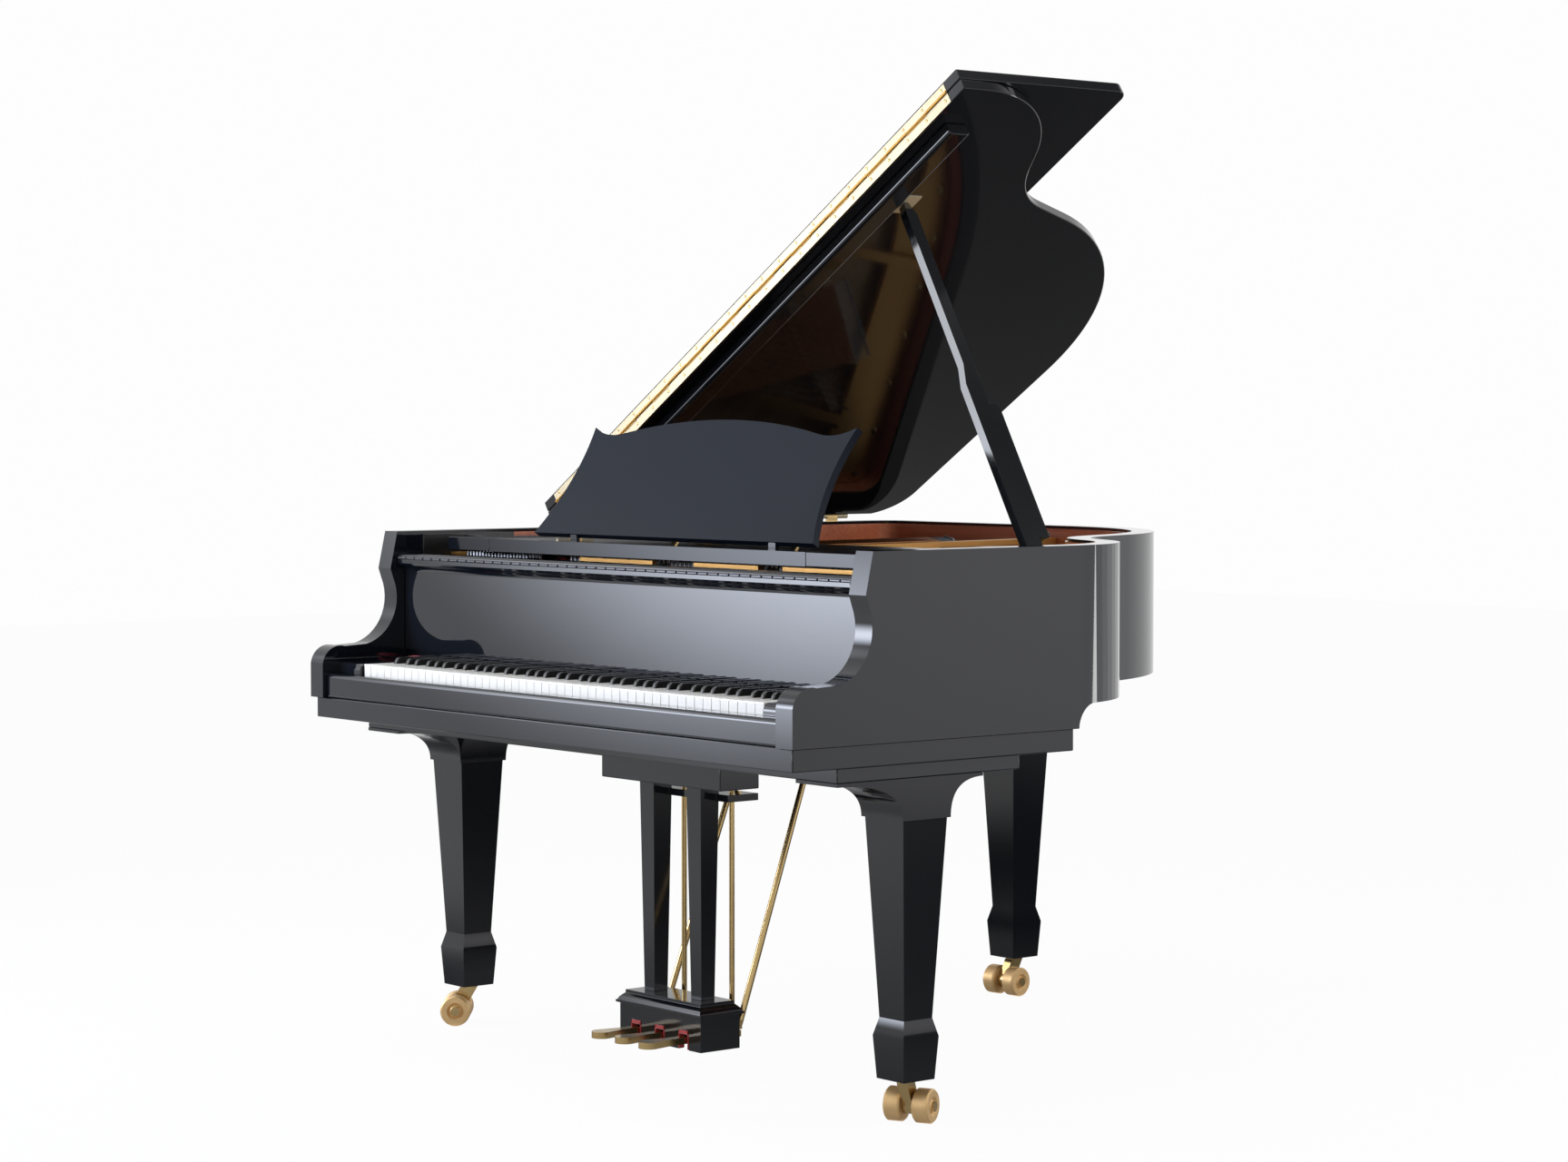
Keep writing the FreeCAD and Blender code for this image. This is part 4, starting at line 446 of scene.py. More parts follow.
black_polish = lacquer("black_lacquer", (0.006, 0.008, 0.013, 1), smooth=0.03, dull=0.07, index=1.48)
leg_polish = lacquer("leg_lacquer", (0.005, 0.006, 0.009, 1), smooth=0.06, dull=0.12, index=1.45)
shelf_polish = lacquer("shelf_lacquer", (0.006, 0.008, 0.013, 1), smooth=0.05, dull=0.10, index=1.28)
lid_polish = lacquer("lid_lacquer", (0.0065, 0.007, 0.009, 1), smooth=0.04, dull=0.08, index=1.40, ripple=0.01)
prop_polish = lacquer("prop_lacquer", (0.005, 0.006, 0.008, 1), smooth=0.10, dull=0.16, index=1.75)
satin_slate = lacquer("slate_satin", (0.005, 0.009, 0.018, 1), smooth=0.34, dull=0.42, index=1.22, ripple=0.03)
black_rubber = lacquer("black_rubber", (0.014, 0.014, 0.014, 1), smooth=0.5, dull=0.62, index=1.45, ripple=0.1)
mahogany = timber("rim_mahogany", **MAHOGANY)
# The lining is drawn black in front of a set depth. Part of this is the black lacquer of the case's front. The rest is
# painted shade where the lid's shadow falls on the mahogany.
rim_lining = coloured_before(timber("rim_lining", **MAHOGANY), LINING_BLACK_AND_SHADE_DEPTH, (0.006, 0.006, 0.006, 1))
spruce = timber(
    "straight_spruce", (0.80, 0.56, 0.29, 1), (0.56, 0.33, 0.14, 1),
    fineness=2.2, roughness=0.42, turn=-38.0, coat=0.3)
maple = timber(
    "hard_maple", (0.74, 0.56, 0.36, 1), (0.55, 0.37, 0.20, 1),
    fineness=1.5, roughness=0.45, turn=90.0, coat=0.0)
gold_iron = bronzed_iron()
copper = winding_copper()
steel = metal(
    "drawn_steel", (0.30, 0.31, 0.33, 1), (0.20, 0.21, 0.23, 1), smooth=0.18, dull=0.34, fineness=8.0)
dark_steel = metal(
    "dark_hinge_steel", (0.09, 0.09, 0.10, 1), (0.04, 0.04, 0.045, 1),
    smooth=0.22, dull=0.36, fineness=8.0, metallic=0.9)
brass = metal(
    "polished_brass", (0.62, 0.46, 0.22, 1), (0.45, 0.31, 0.13, 1), smooth=0.12, dull=0.28, fineness=6.0)
caster_brass = metal(
    "cast_brass", (0.82, 0.56, 0.27, 1), (0.64, 0.41, 0.18, 1),
    smooth=0.34, dull=0.52, fineness=9.0, metallic=0.5)
# One brass drawn in two colours: in front of a set depth, the round barrel takes a deeper gold as painted shade, while
# the flat leaves stay pale.
leaf_brass = coloured_before(
    metal("hinge_brass", (0.62, 0.54, 0.37, 1), (0.50, 0.41, 0.25, 1),
          smooth=0.28, dull=0.44, fineness=6.0, metallic=0.4),
    BARREL_FACE, (0.50, 0.26, 0.04, 1))
white_plastic = key_plastic("white_key_covering", (0.90, 0.895, 0.875, 1), smooth=0.16, dull=0.30)
black_plastic = key_plastic("black_key_covering", (0.012, 0.012, 0.013, 1), smooth=0.22, dull=0.36)
red_felt = felt("red_felt", (0.46, 0.018, 0.02, 1))
# A copy of the red felt drawn about twice as bright: painted light for red felt that sits in shade.
painted_light_red = felt("name_felt_red", (0.95, 0.03, 0.05, 1))
white_felt = felt("white_felt", (0.82, 0.80, 0.74, 1))

slot_finishes = {
    "black_polish": black_polish, "mahogany": mahogany, "spruce": spruce, "maple": maple,
    "gold_iron": gold_iron, "steel": steel, "copper": copper, "brass": brass,
    "white_key": white_plastic, "black_key": black_plastic, "satin_slate": satin_slate}
own_finishes = {
    "main_lid": lid_polish, "front_flap": lid_polish, "flap_hinge_leaf": leaf_brass, "lid_fittings": leaf_brass,
    "lid_prop": prop_polish, "half_prop": prop_polish, "inner_rim": rim_lining,
    "desk_shelf": shelf_polish, "desk_rails": shelf_polish, "lyre_columns": leg_polish, "lyre_box": leg_polish,
    "leg_front_left": leg_polish, "leg_front_right": leg_polish, "leg_rear": leg_polish,
    "caster_wheels_front_left": caster_brass, "caster_wheels_front_right": caster_brass,
    "caster_wheels_rear": caster_brass}
slot_of = {}
finish_of = {}
for node_name, node_object in nodes.items():
    slot_of[node_name] = node_object.data.materials[0].name.split(".")[0]
    finish_of[node_name] = own_finishes.get(node_name, slot_finishes[slot_of[node_name]])
    node_object.material_slots[0].material = finish_of[node_name]


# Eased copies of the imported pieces: sharp edges become narrow rounds that catch the light.

EASE_STEPS = 2
FLAT_WEIGHT = 90
EASES = {
    "outer_rim": 0.0020, "inner_rim": 0.0015, "key_bed": 0.0020, "key_slip": 0.0050, "key_blocks": 0.0012,
    "fallboard": 0.0010, "desk_shelf": 0.0012, "desk_rails": 0.0010, "music_desk": 0.0016,
    "main_lid": 0.0020, "front_flap": 0.0020,
    "leg_front_left": 0.0022, "leg_front_right": 0.0022, "leg_rear": 0.0022,
    "lyre_top_block": 0.0022, "lyre_columns": 0.0020, "lyre_box": 0.0012,
    "lid_prop": 0.0020, "half_prop": 0.0024, "plate": 0.0012,
    "pedal_left": 0.0022, "pedal_middle": 0.0022, "pedal_right": 0.0022}


def ease_node(node, width):
    """A merged copy of a node with its flat faces joined and its sharp edges rounded by the width."""
    shell = bmesh.new()
    shell.from_mesh(nodes[node].data)
    bmesh.ops.remove_doubles(shell, verts=shell.verts, dist=WELD)
    bmesh.ops.dissolve_limit(shell, angle_limit=FLAT_ANGLE, verts=shell.verts, edges=shell.edges)
    mesh = bpy.data.meshes.new(node + "_eased")
    shell.to_mesh(mesh)
    shell.free()
    mesh.materials.append(finish_of[node])
    mesh.shade_smooth()
    mesh.set_sharp_from_angle(angle=SHARP_ANGLE)
    piece = bpy.data.objects.new(node + "_eased", mesh)
    scene.collection.objects.link(piece)
    rounding = piece.modifiers.new("edge_round", "BEVEL")
    rounding.width = width
    rounding.segments = EASE_STEPS
    rounding.limit_method = "ANGLE"
    rounding.angle_limit = SHARP_ANGLE
    flats = piece.modifiers.new("true_flats", "WEIGHTED_NORMAL")
    flats.mode = "FACE_AREA"
    flats.weight = FLAT_WEIGHT
    flats.keep_sharp = True
    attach(piece, body_of(nodes[node])[0])
    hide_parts(node)


for node_name, ease in EASES.items():
    ease_node(node_name, ease)


# Keys.

WHITE_COUNT = 52
WHITE_NAMES = 7
WHITE_PITCH = 0.0236
KEY_GAP = 0.0009
HEAD_LENGTH = 0.050
CAP_THICKNESS = 0.0032
CAP_EASE = 0.0006
CAP_TURN = 0.3
CAP_BACK = -0.546
FRONT_PLATE = 0.0022
PLATE_EASE = 0.0002
PLATE_SIDE = 0.0002
PLATE_FACE = 0.0003
PLATE_FOOT = 0.0005
STICK_EASE = 0.0004

# The cap of a black key, from its nose to its back: how far along, how high, and how wide at its foot and crown.
BLACK_POINTS = 42
BLACK_HALF = 0.0054
BLACK_BACK = -0.559
BLACK_RISE = 0.012
BLACK_FOOT = 0.006
BLACK_CORNER = 0.0012
BLACK_TURN = 0.4
BLACK_FLARE = 0.0002
BLACK_STEP = 0.001
NOSE_STATIONS = [0.0, 0.0006, 0.0045, 0.0075, 0.012]
CAP_RISES = np.array([-0.004, -0.0015, 0.0075, 0.0108, BLACK_RISE, BLACK_RISE, 0.011])
CAP_FEET = np.array([0.0050, BLACK_HALF, BLACK_HALF, BLACK_HALF, BLACK_HALF, BLACK_HALF, 0.0053])
CAP_CROWNS = np.array([0.0036, 0.0040, 0.0041, 0.0043, 0.0045, 0.0045, 0.0041])


def black_centres(node):
    """The middle of each black key of a group, across the keyboard."""
    keys = solids_of(node, BLACK_POINTS)
    return (keys[:, :, 0].min(axis=1) + keys[:, :, 0].max(axis=1)) / 2


black_nodes = sorted(name for name in nodes if name.startswith("black_keys_"))
white_nodes = sorted(name for name in nodes if name.startswith("white_keys_"))
all_blacks = np.concatenate([black_centres(name) for name in black_nodes])
black_low, black_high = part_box(black_nodes[0])
white_low, white_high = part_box(white_nodes[0])
key_front, key_back = white_low[1], white_high[1]
key_base, key_top = white_low[2], white_high[2]


def white_outline(left, back):
    """Plan of one white key: a wide head and a tail that leaves room for the black keys beside it."""
    right = left + WHITE_PITCH - KEY_GAP
    middle = (left + right) / 2
    near = all_blacks[np.abs(all_blacks - middle) < WHITE_PITCH]
    lower = near[near < middle] + BLACK_HALF + KEY_GAP
    upper = near[near > middle] - BLACK_HALF - KEY_GAP
    tail_left = max([left, *lower.tolist()])
    tail_right = min([right, *upper.tolist()])
    step = key_front + HEAD_LENGTH
    corners = [(left, key_front), (right, key_front)]
    if tail_right < right:
        corners += [(right, step), (tail_right, step)]
    corners += [(tail_right, back), (tail_left, back)]
    if tail_left > left:
        corners += [(tail_left, step), (left, step)]
    return np.array(corners)


def white_group(node):
    """White keys of one note name: eased coverings with a front plate, on wooden sticks."""
    letter = node.rsplit("_", 1)[1]
    first = (ord(letter) - ord("a")) % WHITE_NAMES
    under = key_top - CAP_THICKNESS
    caps = []
    sticks = []
    for number in range(first, WHITE_COUNT, WHITE_NAMES):
        left = (number - WHITE_COUNT / 2) * WHITE_PITCH + KEY_GAP / 2
        right = left + WHITE_PITCH - KEY_GAP
        caps.append(plates_on(
            white_outline(left, CAP_BACK),
            [under, key_top - CAP_EASE, key_top - CAP_EASE * CAP_TURN, key_top],
            [0.0, 0.0, CAP_EASE * CAP_TURN, CAP_EASE]))
        caps.append(eased_blocks(
            [left + PLATE_SIDE, key_front + PLATE_FACE, key_base + PLATE_FOOT],
            [right - PLATE_SIDE, key_front + FRONT_PLATE, under], PLATE_EASE))
        stick = white_outline(left, key_back)
        stick[:2, 1] += FRONT_PLATE
        sticks.append(plates_on(stick, [key_base, under], [STICK_EASE, STICK_EASE]))
    caps_piece = make_piece("white_caps_" + letter, *joined(*caps), white_plastic, node, "white_key")
    make_piece("white_sticks_" + letter, *joined(*sticks), spruce, node, "spruce")
    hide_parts(node)


def black_group(node):
    """Black keys of one note name: tapered caps with a sloped nose, carried back along the key, on sticks."""
    name = node[len("black_keys_"):]
    centres = black_centres(node)
    nose = black_low[1]
    foot = key_top - BLACK_FOOT
    top = black_high[2] - BLACK_RISE + CAP_RISES
    length = BLACK_BACK - nose
    station = nose + np.array(NOSE_STATIONS + [length - BLACK_STEP, length])
    half = np.stack([CAP_FEET, CAP_FEET, CAP_CROWNS + BLACK_FLARE, CAP_CROWNS, CAP_CROWNS - BLACK_CORNER], axis=1)
    side = np.concatenate([half, -half[:, ::-1]], axis=1)
    level = np.stack([
        np.full_like(top, foot), np.full_like(top, foot + BLACK_STEP),
        top - BLACK_CORNER, top - BLACK_CORNER * BLACK_TURN, top], axis=1)
    level = np.concatenate([level, level[:, ::-1]], axis=1)
    ring = np.stack([side, np.broadcast_to(station[:, None], level.shape), level], axis=-1)
    rings = ring[None] + np.stack([centres, centres * 0, centres * 0], axis=-1)[:, None, None, :]
    caps = make_piece("black_caps_" + name, *ring_solids(rings), black_plastic, node, "black_key")
    even = np.ones_like(centres)
    lows = np.stack([centres - BLACK_HALF, even * (nose + BLACK_STEP), even * key_base], axis=-1)
    highs = np.stack([centres + BLACK_HALF, even * key_back, even * foot], axis=-1)
    make_piece("black_sticks_" + name, *eased_blocks(lows, highs, STICK_EASE), spruce, node, "spruce")
    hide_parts(node)


for node_name in white_nodes:
    white_group(node_name)
for node_name in black_nodes:
    black_group(node_name)


# Strings, pins and dampers.

BAR_POINTS = 24
PLAIN_SHIFTS = [-0.0027, 0.0, 0.0027]
BASS_SHIFTS = [-0.0022, 0.0022]
PLAIN_RADIUS = 0.00055
CORE_RADIUS = 0.0007
WINDING_RADIUS = 0.0015
WINDING_START = 0.16
WINDING_END = 0.955
WIRE_SIDES = 5
WINDING_SIDES = 8
COIL_REACH = 0.0034
COIL_HEIGHT = 0.011
PIN_SIDES = 8
PIN_RADII = [0.0033, 0.0033, 0.0046, 0.0042, 0.0046, 0.0033, 0.0030, 0.0024]
PIN_HEIGHTS = [0.0, 0.0085, 0.0090, 0.0105, 0.0120, 0.0128, 0.0225]
AGRAFFE_DEPTH = -0.25
AGRAFFE_BELOW = np.array([0.0048, 0.003, 0.019])
AGRAFFE_ABOVE = np.array([0.0048, 0.003, 0.004])
AGRAFFE_EASE = 0.0012
HITCH_SET = np.array([0.0, 0.004, 0.012])
HITCH_SIDES = 6
HITCH_RADII = [0.0018, 0.0018, 0.0012]
HITCH_HEIGHTS = [0.0, 0.0150, 0.0158]
DAMPER_FELT = 0.008
DAMPER_FELT_INSET = np.array([0.0005, 0.0005, 0.0])
DAMPER_HEAD_EASE = 0.0012
DAMPER_FELT_EASE = 0.0008


def bar_ends(node):
    """The middle of each string bar's front end and back end."""
    bars = solids_of(node, BAR_POINTS)
    order = np.argsort(bars[:, :, 1], axis=1)[:, :, None]
    front = np.take_along_axis(bars, order[:, :BAR_POINTS // 2], axis=1).mean(axis=1)
    back = np.take_along_axis(bars, order[:, BAR_POINTS // 2:], axis=1).mean(axis=1)
    return front, back


pins = solids_of("tuning_pins", BAR_POINTS)
pin_middles = (pins.min(axis=1) + pins.max(axis=1)) / 2
pin_base = pins[:, :, 2].min()
pin_top = pins[:, :, 2].max()
plain_front, plain_back = bar_ends("plain_strings")
wound_front, wound_back = bar_ends("wound_strings")


def wire_paths(front, back, pin_set, shifts):
    """Each wire runs from the side of its pin to the string's front end and its back end, set aside by its shift."""
    per_note = len(shifts)
    aside = np.zeros((1, per_note, 3))
    aside[0, :, 0] = shifts
    start = pin_set.reshape(-1, per_note, 3) + np.array([COIL_REACH, 0.0, 0.0])
    start[:, :, 2] = pin_base + COIL_HEIGHT
    return np.stack([start, front[:, None] + aside, back[:, None] + aside], axis=2).reshape(-1, 3, 3)


def on_string(front, back, depth):
    """The point of each string at one depth."""
    share = (depth - front[:, 1]) / (back[:, 1] - front[:, 1])
    return front + share[:, None] * (back - front)


plain_count = len(plain_front) * len(PLAIN_SHIFTS)
plain_paths = wire_paths(plain_front, plain_back, pin_middles[:plain_count], PLAIN_SHIFTS)
bass_paths = wire_paths(wound_front, wound_back, pin_middles[plain_count:], BASS_SHIFTS)
plain_wires = make_piece("plain_wires", *wires(plain_paths, PLAIN_RADIUS, WIRE_SIDES), steel, "case", "steel")
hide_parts("plain_strings")
make_piece("wound_cores", *wires(bass_paths, CORE_RADIUS, WIRE_SIDES), steel, "case", "steel")
bass_front = bass_paths[:, 1]
bass_span = bass_paths[:, 2] - bass_front
covered = np.stack([bass_front + bass_span * WINDING_START, bass_front + bass_span * WINDING_END], axis=1)
wound_covers = make_piece(
    "wound_covers", *wires(covered, WINDING_RADIUS, WINDING_SIDES), copper, "case", "copper")
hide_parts("wound_strings")

pin_feet = pin_middles.copy()
pin_feet[:, 2] = pin_base
round_pins = make_piece(
    "round_pins", *turned(pin_feet, PIN_RADII, PIN_HEIGHTS + [pin_top - pin_base], PIN_SIDES),
    steel, "case", "steel")
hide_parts("tuning_pins")

studs = np.concatenate([
    on_string(plain_front, plain_back, AGRAFFE_DEPTH), on_string(wound_front, wound_back, AGRAFFE_DEPTH)])
make_piece(
    "agraffes", *eased_blocks(studs - AGRAFFE_BELOW, studs + AGRAFFE_ABOVE, AGRAFFE_EASE), brass, "case", "brass")
hitches = np.concatenate([plain_back, wound_back]) - HITCH_SET
make_piece(
    "hitch_pins", *turned(hitches, HITCH_RADII, HITCH_HEIGHTS, HITCH_SIDES), steel, "case", "steel")

dampers = solids_of("dampers", BAR_POINTS)
damper_low = dampers.min(axis=1)
damper_high = dampers.max(axis=1)
heads_low = damper_low.copy()
heads_low[:, 2] += DAMPER_FELT
felts_high = damper_high - DAMPER_FELT_INSET
felts_high[:, 2] = heads_low[:, 2]
damper_heads = make_piece(
    "damper_heads", *eased_blocks(heads_low, damper_high, DAMPER_HEAD_EASE),
    black_polish, "damper_rail", "black_polish")
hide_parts("dampers")
make_piece(
    "damper_felts", *eased_blocks(damper_low + DAMPER_FELT_INSET, felts_high, DAMPER_FELT_EASE),
    white_felt, "damper_rail", "white_key")


# Felt strips, the fallboard's fittings and the felts in the pedals' slots.

def strip(name, low, high, ease, per_corner, finish, body, slot):
    """A straight strip between two corners, with eased edges."""
    make_piece(name, *eased_blocks(low, high, ease, per_corner), finish, body, slot)


# The understring felt and the end felt take the brightened red felt. On the end felt, a piece of the name felt in
# shade, this is painted light.
strip("string_felt", (-0.60, -0.330, 0.9205), (0.63, -0.276, 0.9335), 0.0020, 3, painted_light_red, "case", "mahogany")
strip("name_rail", (-0.6900, -0.5565, 0.7392), (0.6900, -0.5510, 0.7525), 0.0008, 2,
      black_polish, "fall", "black_polish")
strip("name_felt", (-0.6895, -0.5575, 0.7345), (0.6895, -0.5520, 0.7394), 0.0012, 3, red_felt, "fall", "mahogany")
strip("end_felt", (-0.6680, -0.5640, 0.7350), (-0.6080, -0.5572, 0.7410), 0.0012, 3, painted_light_red, "fall", "mahogany")

KNUCKLE_COUNT = 46
KNUCKLE_PITCH = 0.030
KNUCKLE_START = np.array([-0.688, -0.5785, 0.9335])
KNUCKLE_SIDES = 10
KNUCKLE_RADII = [0.0022, 0.0030, 0.0030, 0.0022]
KNUCKLE_LENGTHS = [0.0, 0.0006, 0.0256, 0.0262]
BUMPER_PLACE = (0.6920, -0.5775, 0.9300)
BUMPER_SIDES = 14
BUMPER_RADII = [0.0062, 0.0062, 0.0050, 0.0020]
BUMPER_LENGTHS = [0.0, 0.0042, 0.0060, 0.0066]
RIGHTWARD = np.array([1.0, 0.0, 0.0])
FORWARD = np.array([0.0, -1.0, 0.0])

knuckles = KNUCKLE_START + np.arange(KNUCKLE_COUNT)[:, None] * KNUCKLE_PITCH * RIGHTWARD
make_piece(
    "lip_hinge", *turned(knuckles, KNUCKLE_RADII, KNUCKLE_LENGTHS, KNUCKLE_SIDES, RIGHTWARD),
    dark_steel, "fall", "steel")
make_piece(
    "fall_bumper", *turned(BUMPER_PLACE, BUMPER_RADII, BUMPER_LENGTHS, BUMPER_SIDES, FORWARD),
    black_rubber, "fall", "black_polish")

SLOT_HALF = 0.0149
SLOT_FELT_INNER = 0.0118
SLOT_BASE = 0.051
SLOT_ROOF = 0.0788
SLOT_TOP = 0.0859
SLOT_FRONT = -0.4602
SLOT_BACK = -0.4475
SLOT_EASE = 0.0008

slot_lows = []
slot_highs = []
for pedal in ("pedal_left_press", "pedal_middle_press", "pedal_right_press"):
    middle = joints[pedal]["pos_m"][0]
    for left, right, base in (
            (-SLOT_HALF, -SLOT_FELT_INNER, SLOT_BASE), (SLOT_FELT_INNER, SLOT_HALF, SLOT_BASE),
            (-SLOT_HALF, SLOT_HALF, SLOT_ROOF)):
        slot_lows.append((middle + left, SLOT_FRONT, base))
        slot_highs.append((middle + right, SLOT_BACK, SLOT_TOP))
make_piece(
    "pedal_felts", *eased_blocks(slot_lows, slot_highs, SLOT_EASE), red_felt,
    body_of(nodes["lyre_box"])[0], "mahogany")


# Small hardware: the flap's hinge, the plate's bolts and the casters' axles.

LEAF_FACE = -0.1756
LEAF_MIDDLE = 0.0117
LEAF_TRIM = 0.0032
LEAF_EDGE = 0.001
LEAF_DIGITS = 6
SCREW_COUNT = 24
SCREW_START = 0.065
SCREW_PITCH = 0.0598
SCREW_SIDES = 10
SCREW_RADII = [0.0032, 0.0032, 0.0024, 0.0008]
SCREW_LENGTHS = [-0.0004, 0.0003, 0.0009, 0.0011]

lid_axis = np.array(joints["lid_hinge"]["pos_m"])
lid_along = np.array(joints["flap_hinge"]["axis"])
lid_upward = np.cross(lid_along, -FORWARD)
seam_rise = (np.array(joints["flap_hinge"]["pos_m"]) - lid_axis) @ lid_upward


def screw_row(name, node, rise):
    """A row of round screw heads on one leaf of the flap's hinge, at one rise over the lid's lower face."""
    along = SCREW_START + np.arange(SCREW_COUNT)[:, None] * SCREW_PITCH
    centres = lid_axis + along * lid_along + rise * lid_upward - LEAF_FACE * FORWARD
    heads = turned(centres, SCREW_RADII, SCREW_LENGTHS, SCREW_SIDES, FORWARD)
    make_piece(name, *heads, brass, body_of(nodes[node])[0], "brass")


def trimmed_leaf():
    """The flap's hinge leaf with its outer edge drawn in by the trim, so that lacquer shows beyond it."""
    leaf = nodes["flap_hinge_leaf"]
    points, welded = np.unique(vertices_of("flap_hinge_leaf").round(LEAF_DIGITS), axis=0, return_inverse=True)
    rise = (points - lid_axis) @ lid_upward
    trim = np.where(rise > rise.max() - LEAF_EDGE, LEAF_TRIM, 0.0)
    faces = [[int(welded.ravel()[corner]) for corner in face.vertices] for face in leaf.data.polygons]
    piece = make_piece(
        "flap_leaf_trimmed", points - trim[:, None] * lid_upward, faces, leaf_brass, body_of(leaf)[0], "brass")
    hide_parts("flap_hinge_leaf")


trimmed_leaf()
screw_row("lid_leaf_screws", "lid_fittings", seam_rise - LEAF_MIDDLE)
screw_row("flap_leaf_screws", "flap_hinge_leaf", seam_rise + LEAF_MIDDLE)

BOLT_COUNT = 21
BOLT_MARGIN = 0.024
BOLT_NEAREST = 0.99 * BOLT_MARGIN
BOLT_FRONT_RIGHT = 0.009
BOLT_FRONT_LEFT = -0.031
BOLT_SIDES = 12
BOLT_RADII = [0.0095, 0.0095, 0.0070, 0.0068, 0.0030]
BOLT_HEIGHTS = [0.0, 0.0016, 0.0020, 0.0050, 0.0062]
FLANGE_TOP = 0.9418
FLANGE_MIDDLE = Vector((-0.25, 0.22, FLANGE_TOP))
FLANGE_RAYS = np.radians(np.linspace(-20.0, 215.0, 701))


def flange_line():
    """Points at the bolts' margin inside the inner rim, found by rays from the middle; too near ones are dropped."""
    faces = [list(face.vertices) for face in nodes["inner_rim"].data.polygons]
    rim = BVHTree.FromPolygons(vertices_of("inner_rim").tolist(), faces)
    line = []
    for angle in FLANGE_RAYS:
        wall, outward, _, _ = rim.ray_cast(FLANGE_MIDDLE, Vector((math.cos(angle), math.sin(angle), 0.0)))
        point = wall + BOLT_MARGIN * outward
        front = BOLT_FRONT_RIGHT if point.x > 0.0 else BOLT_FRONT_LEFT
        if point.y > front and rim.find_nearest(point)[3] > BOLT_NEAREST:
            line.append(point)
    return np.array(line)


def plate_bolts():
    """Bolt heads at even steps along the plate's flange."""
    line = flange_line()
    travel = np.concatenate([[0.0], np.cumsum(np.linalg.norm(np.diff(line, axis=0), axis=1))])
    stops = np.linspace(0.0, travel[-1], BOLT_COUNT)
    places = np.column_stack([np.interp(stops, travel, line[:, axis]) for axis in range(3)])
    make_piece(
        "plate_bolts", *turned(places, BOLT_RADII, BOLT_HEIGHTS, BOLT_SIDES), brass, "case", "brass")


plate_bolts()

AXLE_REACH = 0.0374
AXLE_SIDES = 16
AXLE_RADII = [0.0080, 0.0080, 0.0062, 0.0020]
AXLE_LENGTHS = [0.0, 0.0018, 0.0034, 0.0040]


def axle_caps(corner):
    """A turned cap on both ends of one caster's axle, which lies along its wheels' joint."""
    wheel_node = "caster_wheels_" + corner
    low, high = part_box(wheel_node)
    middle = (np.array(low) + np.array(high)) / 2
    axle = np.array(joints["wheels_" + corner]["axis"])
    caps = []
    for outward in (-axle, axle):
        caps.append(turned(middle + AXLE_REACH * outward, AXLE_RADII, AXLE_LENGTHS, AXLE_SIDES, outward))
    make_piece("axle_caps_" + corner, *joined(*caps), brass, body_of(nodes[wheel_node])[0], "brass")


for corner_name in ("front_left", "front_right", "rear"):
    axle_caps(corner_name)


# Floor, light and camera.

FLOOR_REACH = 14.0
FLOOR_GLOW = 0.96
WORLD_ON_OBJECT = 0.42
WORLD_SEEN = 0.985
SHEET_RINGS = 12
SHEET_SECTORS = 32


def seen_rays(tree):
    """1 for what the eye sees directly, in mirrors and through glass, else 0."""
    path = put(tree, "LightPath").outputs
    seen = sums(tree, "MAXIMUM", path["Is Camera Ray"], path["Is Glossy Ray"])
    return sums(tree, "MAXIMUM", seen, path["Is Transmission Ray"])


def bare_material(name):
    """A node material without a shader yet, and its tree."""
    material = bpy.data.materials.new(name)
    material.use_nodes = True
    material.node_tree.nodes.remove(material.node_tree.nodes["Principled BSDF"])
    return material, material.node_tree


def mixed_surface(tree, kind, first, second, share=None):
    """Makes two shaders the material's surface: mixed by the share, or added where there is none."""
    both = put(tree, kind)
    shaders = [first, second] if share is None else [share, first, second]
    for socket, value in zip(both.inputs, shaders):
        fill(tree, socket, value)
    fill(tree, tree.nodes["Material Output"].inputs["Surface"], both.outputs[0])


def studio_floor():
    """A wide pale sheet that shows white to the eye and to mirrors, and still takes a soft shadow."""
    corners = np.array([(-1, -1, 0), (1, -1, 0), (1, 1, 0), (-1, 1, 0)]) * FLOOR_REACH
    mesh = bpy.data.meshes.new("studio_floor")
    mesh.from_pydata(corners.tolist(), [], [(0, 1, 2, 3)])
    material, tree = bare_material("pale_floor")
    speck = put(tree, "TexNoise", Vector=put(tree, "TexCoord").outputs["Object"], Scale=60.0)
    shade = between(tree, speck.outputs[0], (0.72, 0.72, 0.72, 1), (0.76, 0.76, 0.76, 1))
    matt = put(tree, "BsdfDiffuse", Color=shade)
    glow = put(tree, "Emission", Strength=1.0)
    share = sums(tree, "MULTIPLY", seen_rays(tree), FLOOR_GLOW)
    mixed_surface(tree, "MixShader", matt.outputs[0], glow.outputs[0], share)
    mesh.materials.append(material)
    floor = bpy.data.objects.new("studio_floor", mesh)
    scene.collection.objects.link(floor)


def studio_world():
    """White to the eye and to mirrors, a dimmer even light on the object."""
    world = bpy.data.worlds.new("studio_world")
    scene.world = world
    world.use_nodes = True
    tree = world.node_tree
    background = tree.nodes["Background"]
    background.inputs["Color"].default_value = (1.0, 1.0, 1.0, 1.0)
    fill(tree, background.inputs["Strength"], spread(tree, seen_rays(tree), WORLD_ON_OBJECT, WORLD_SEEN))


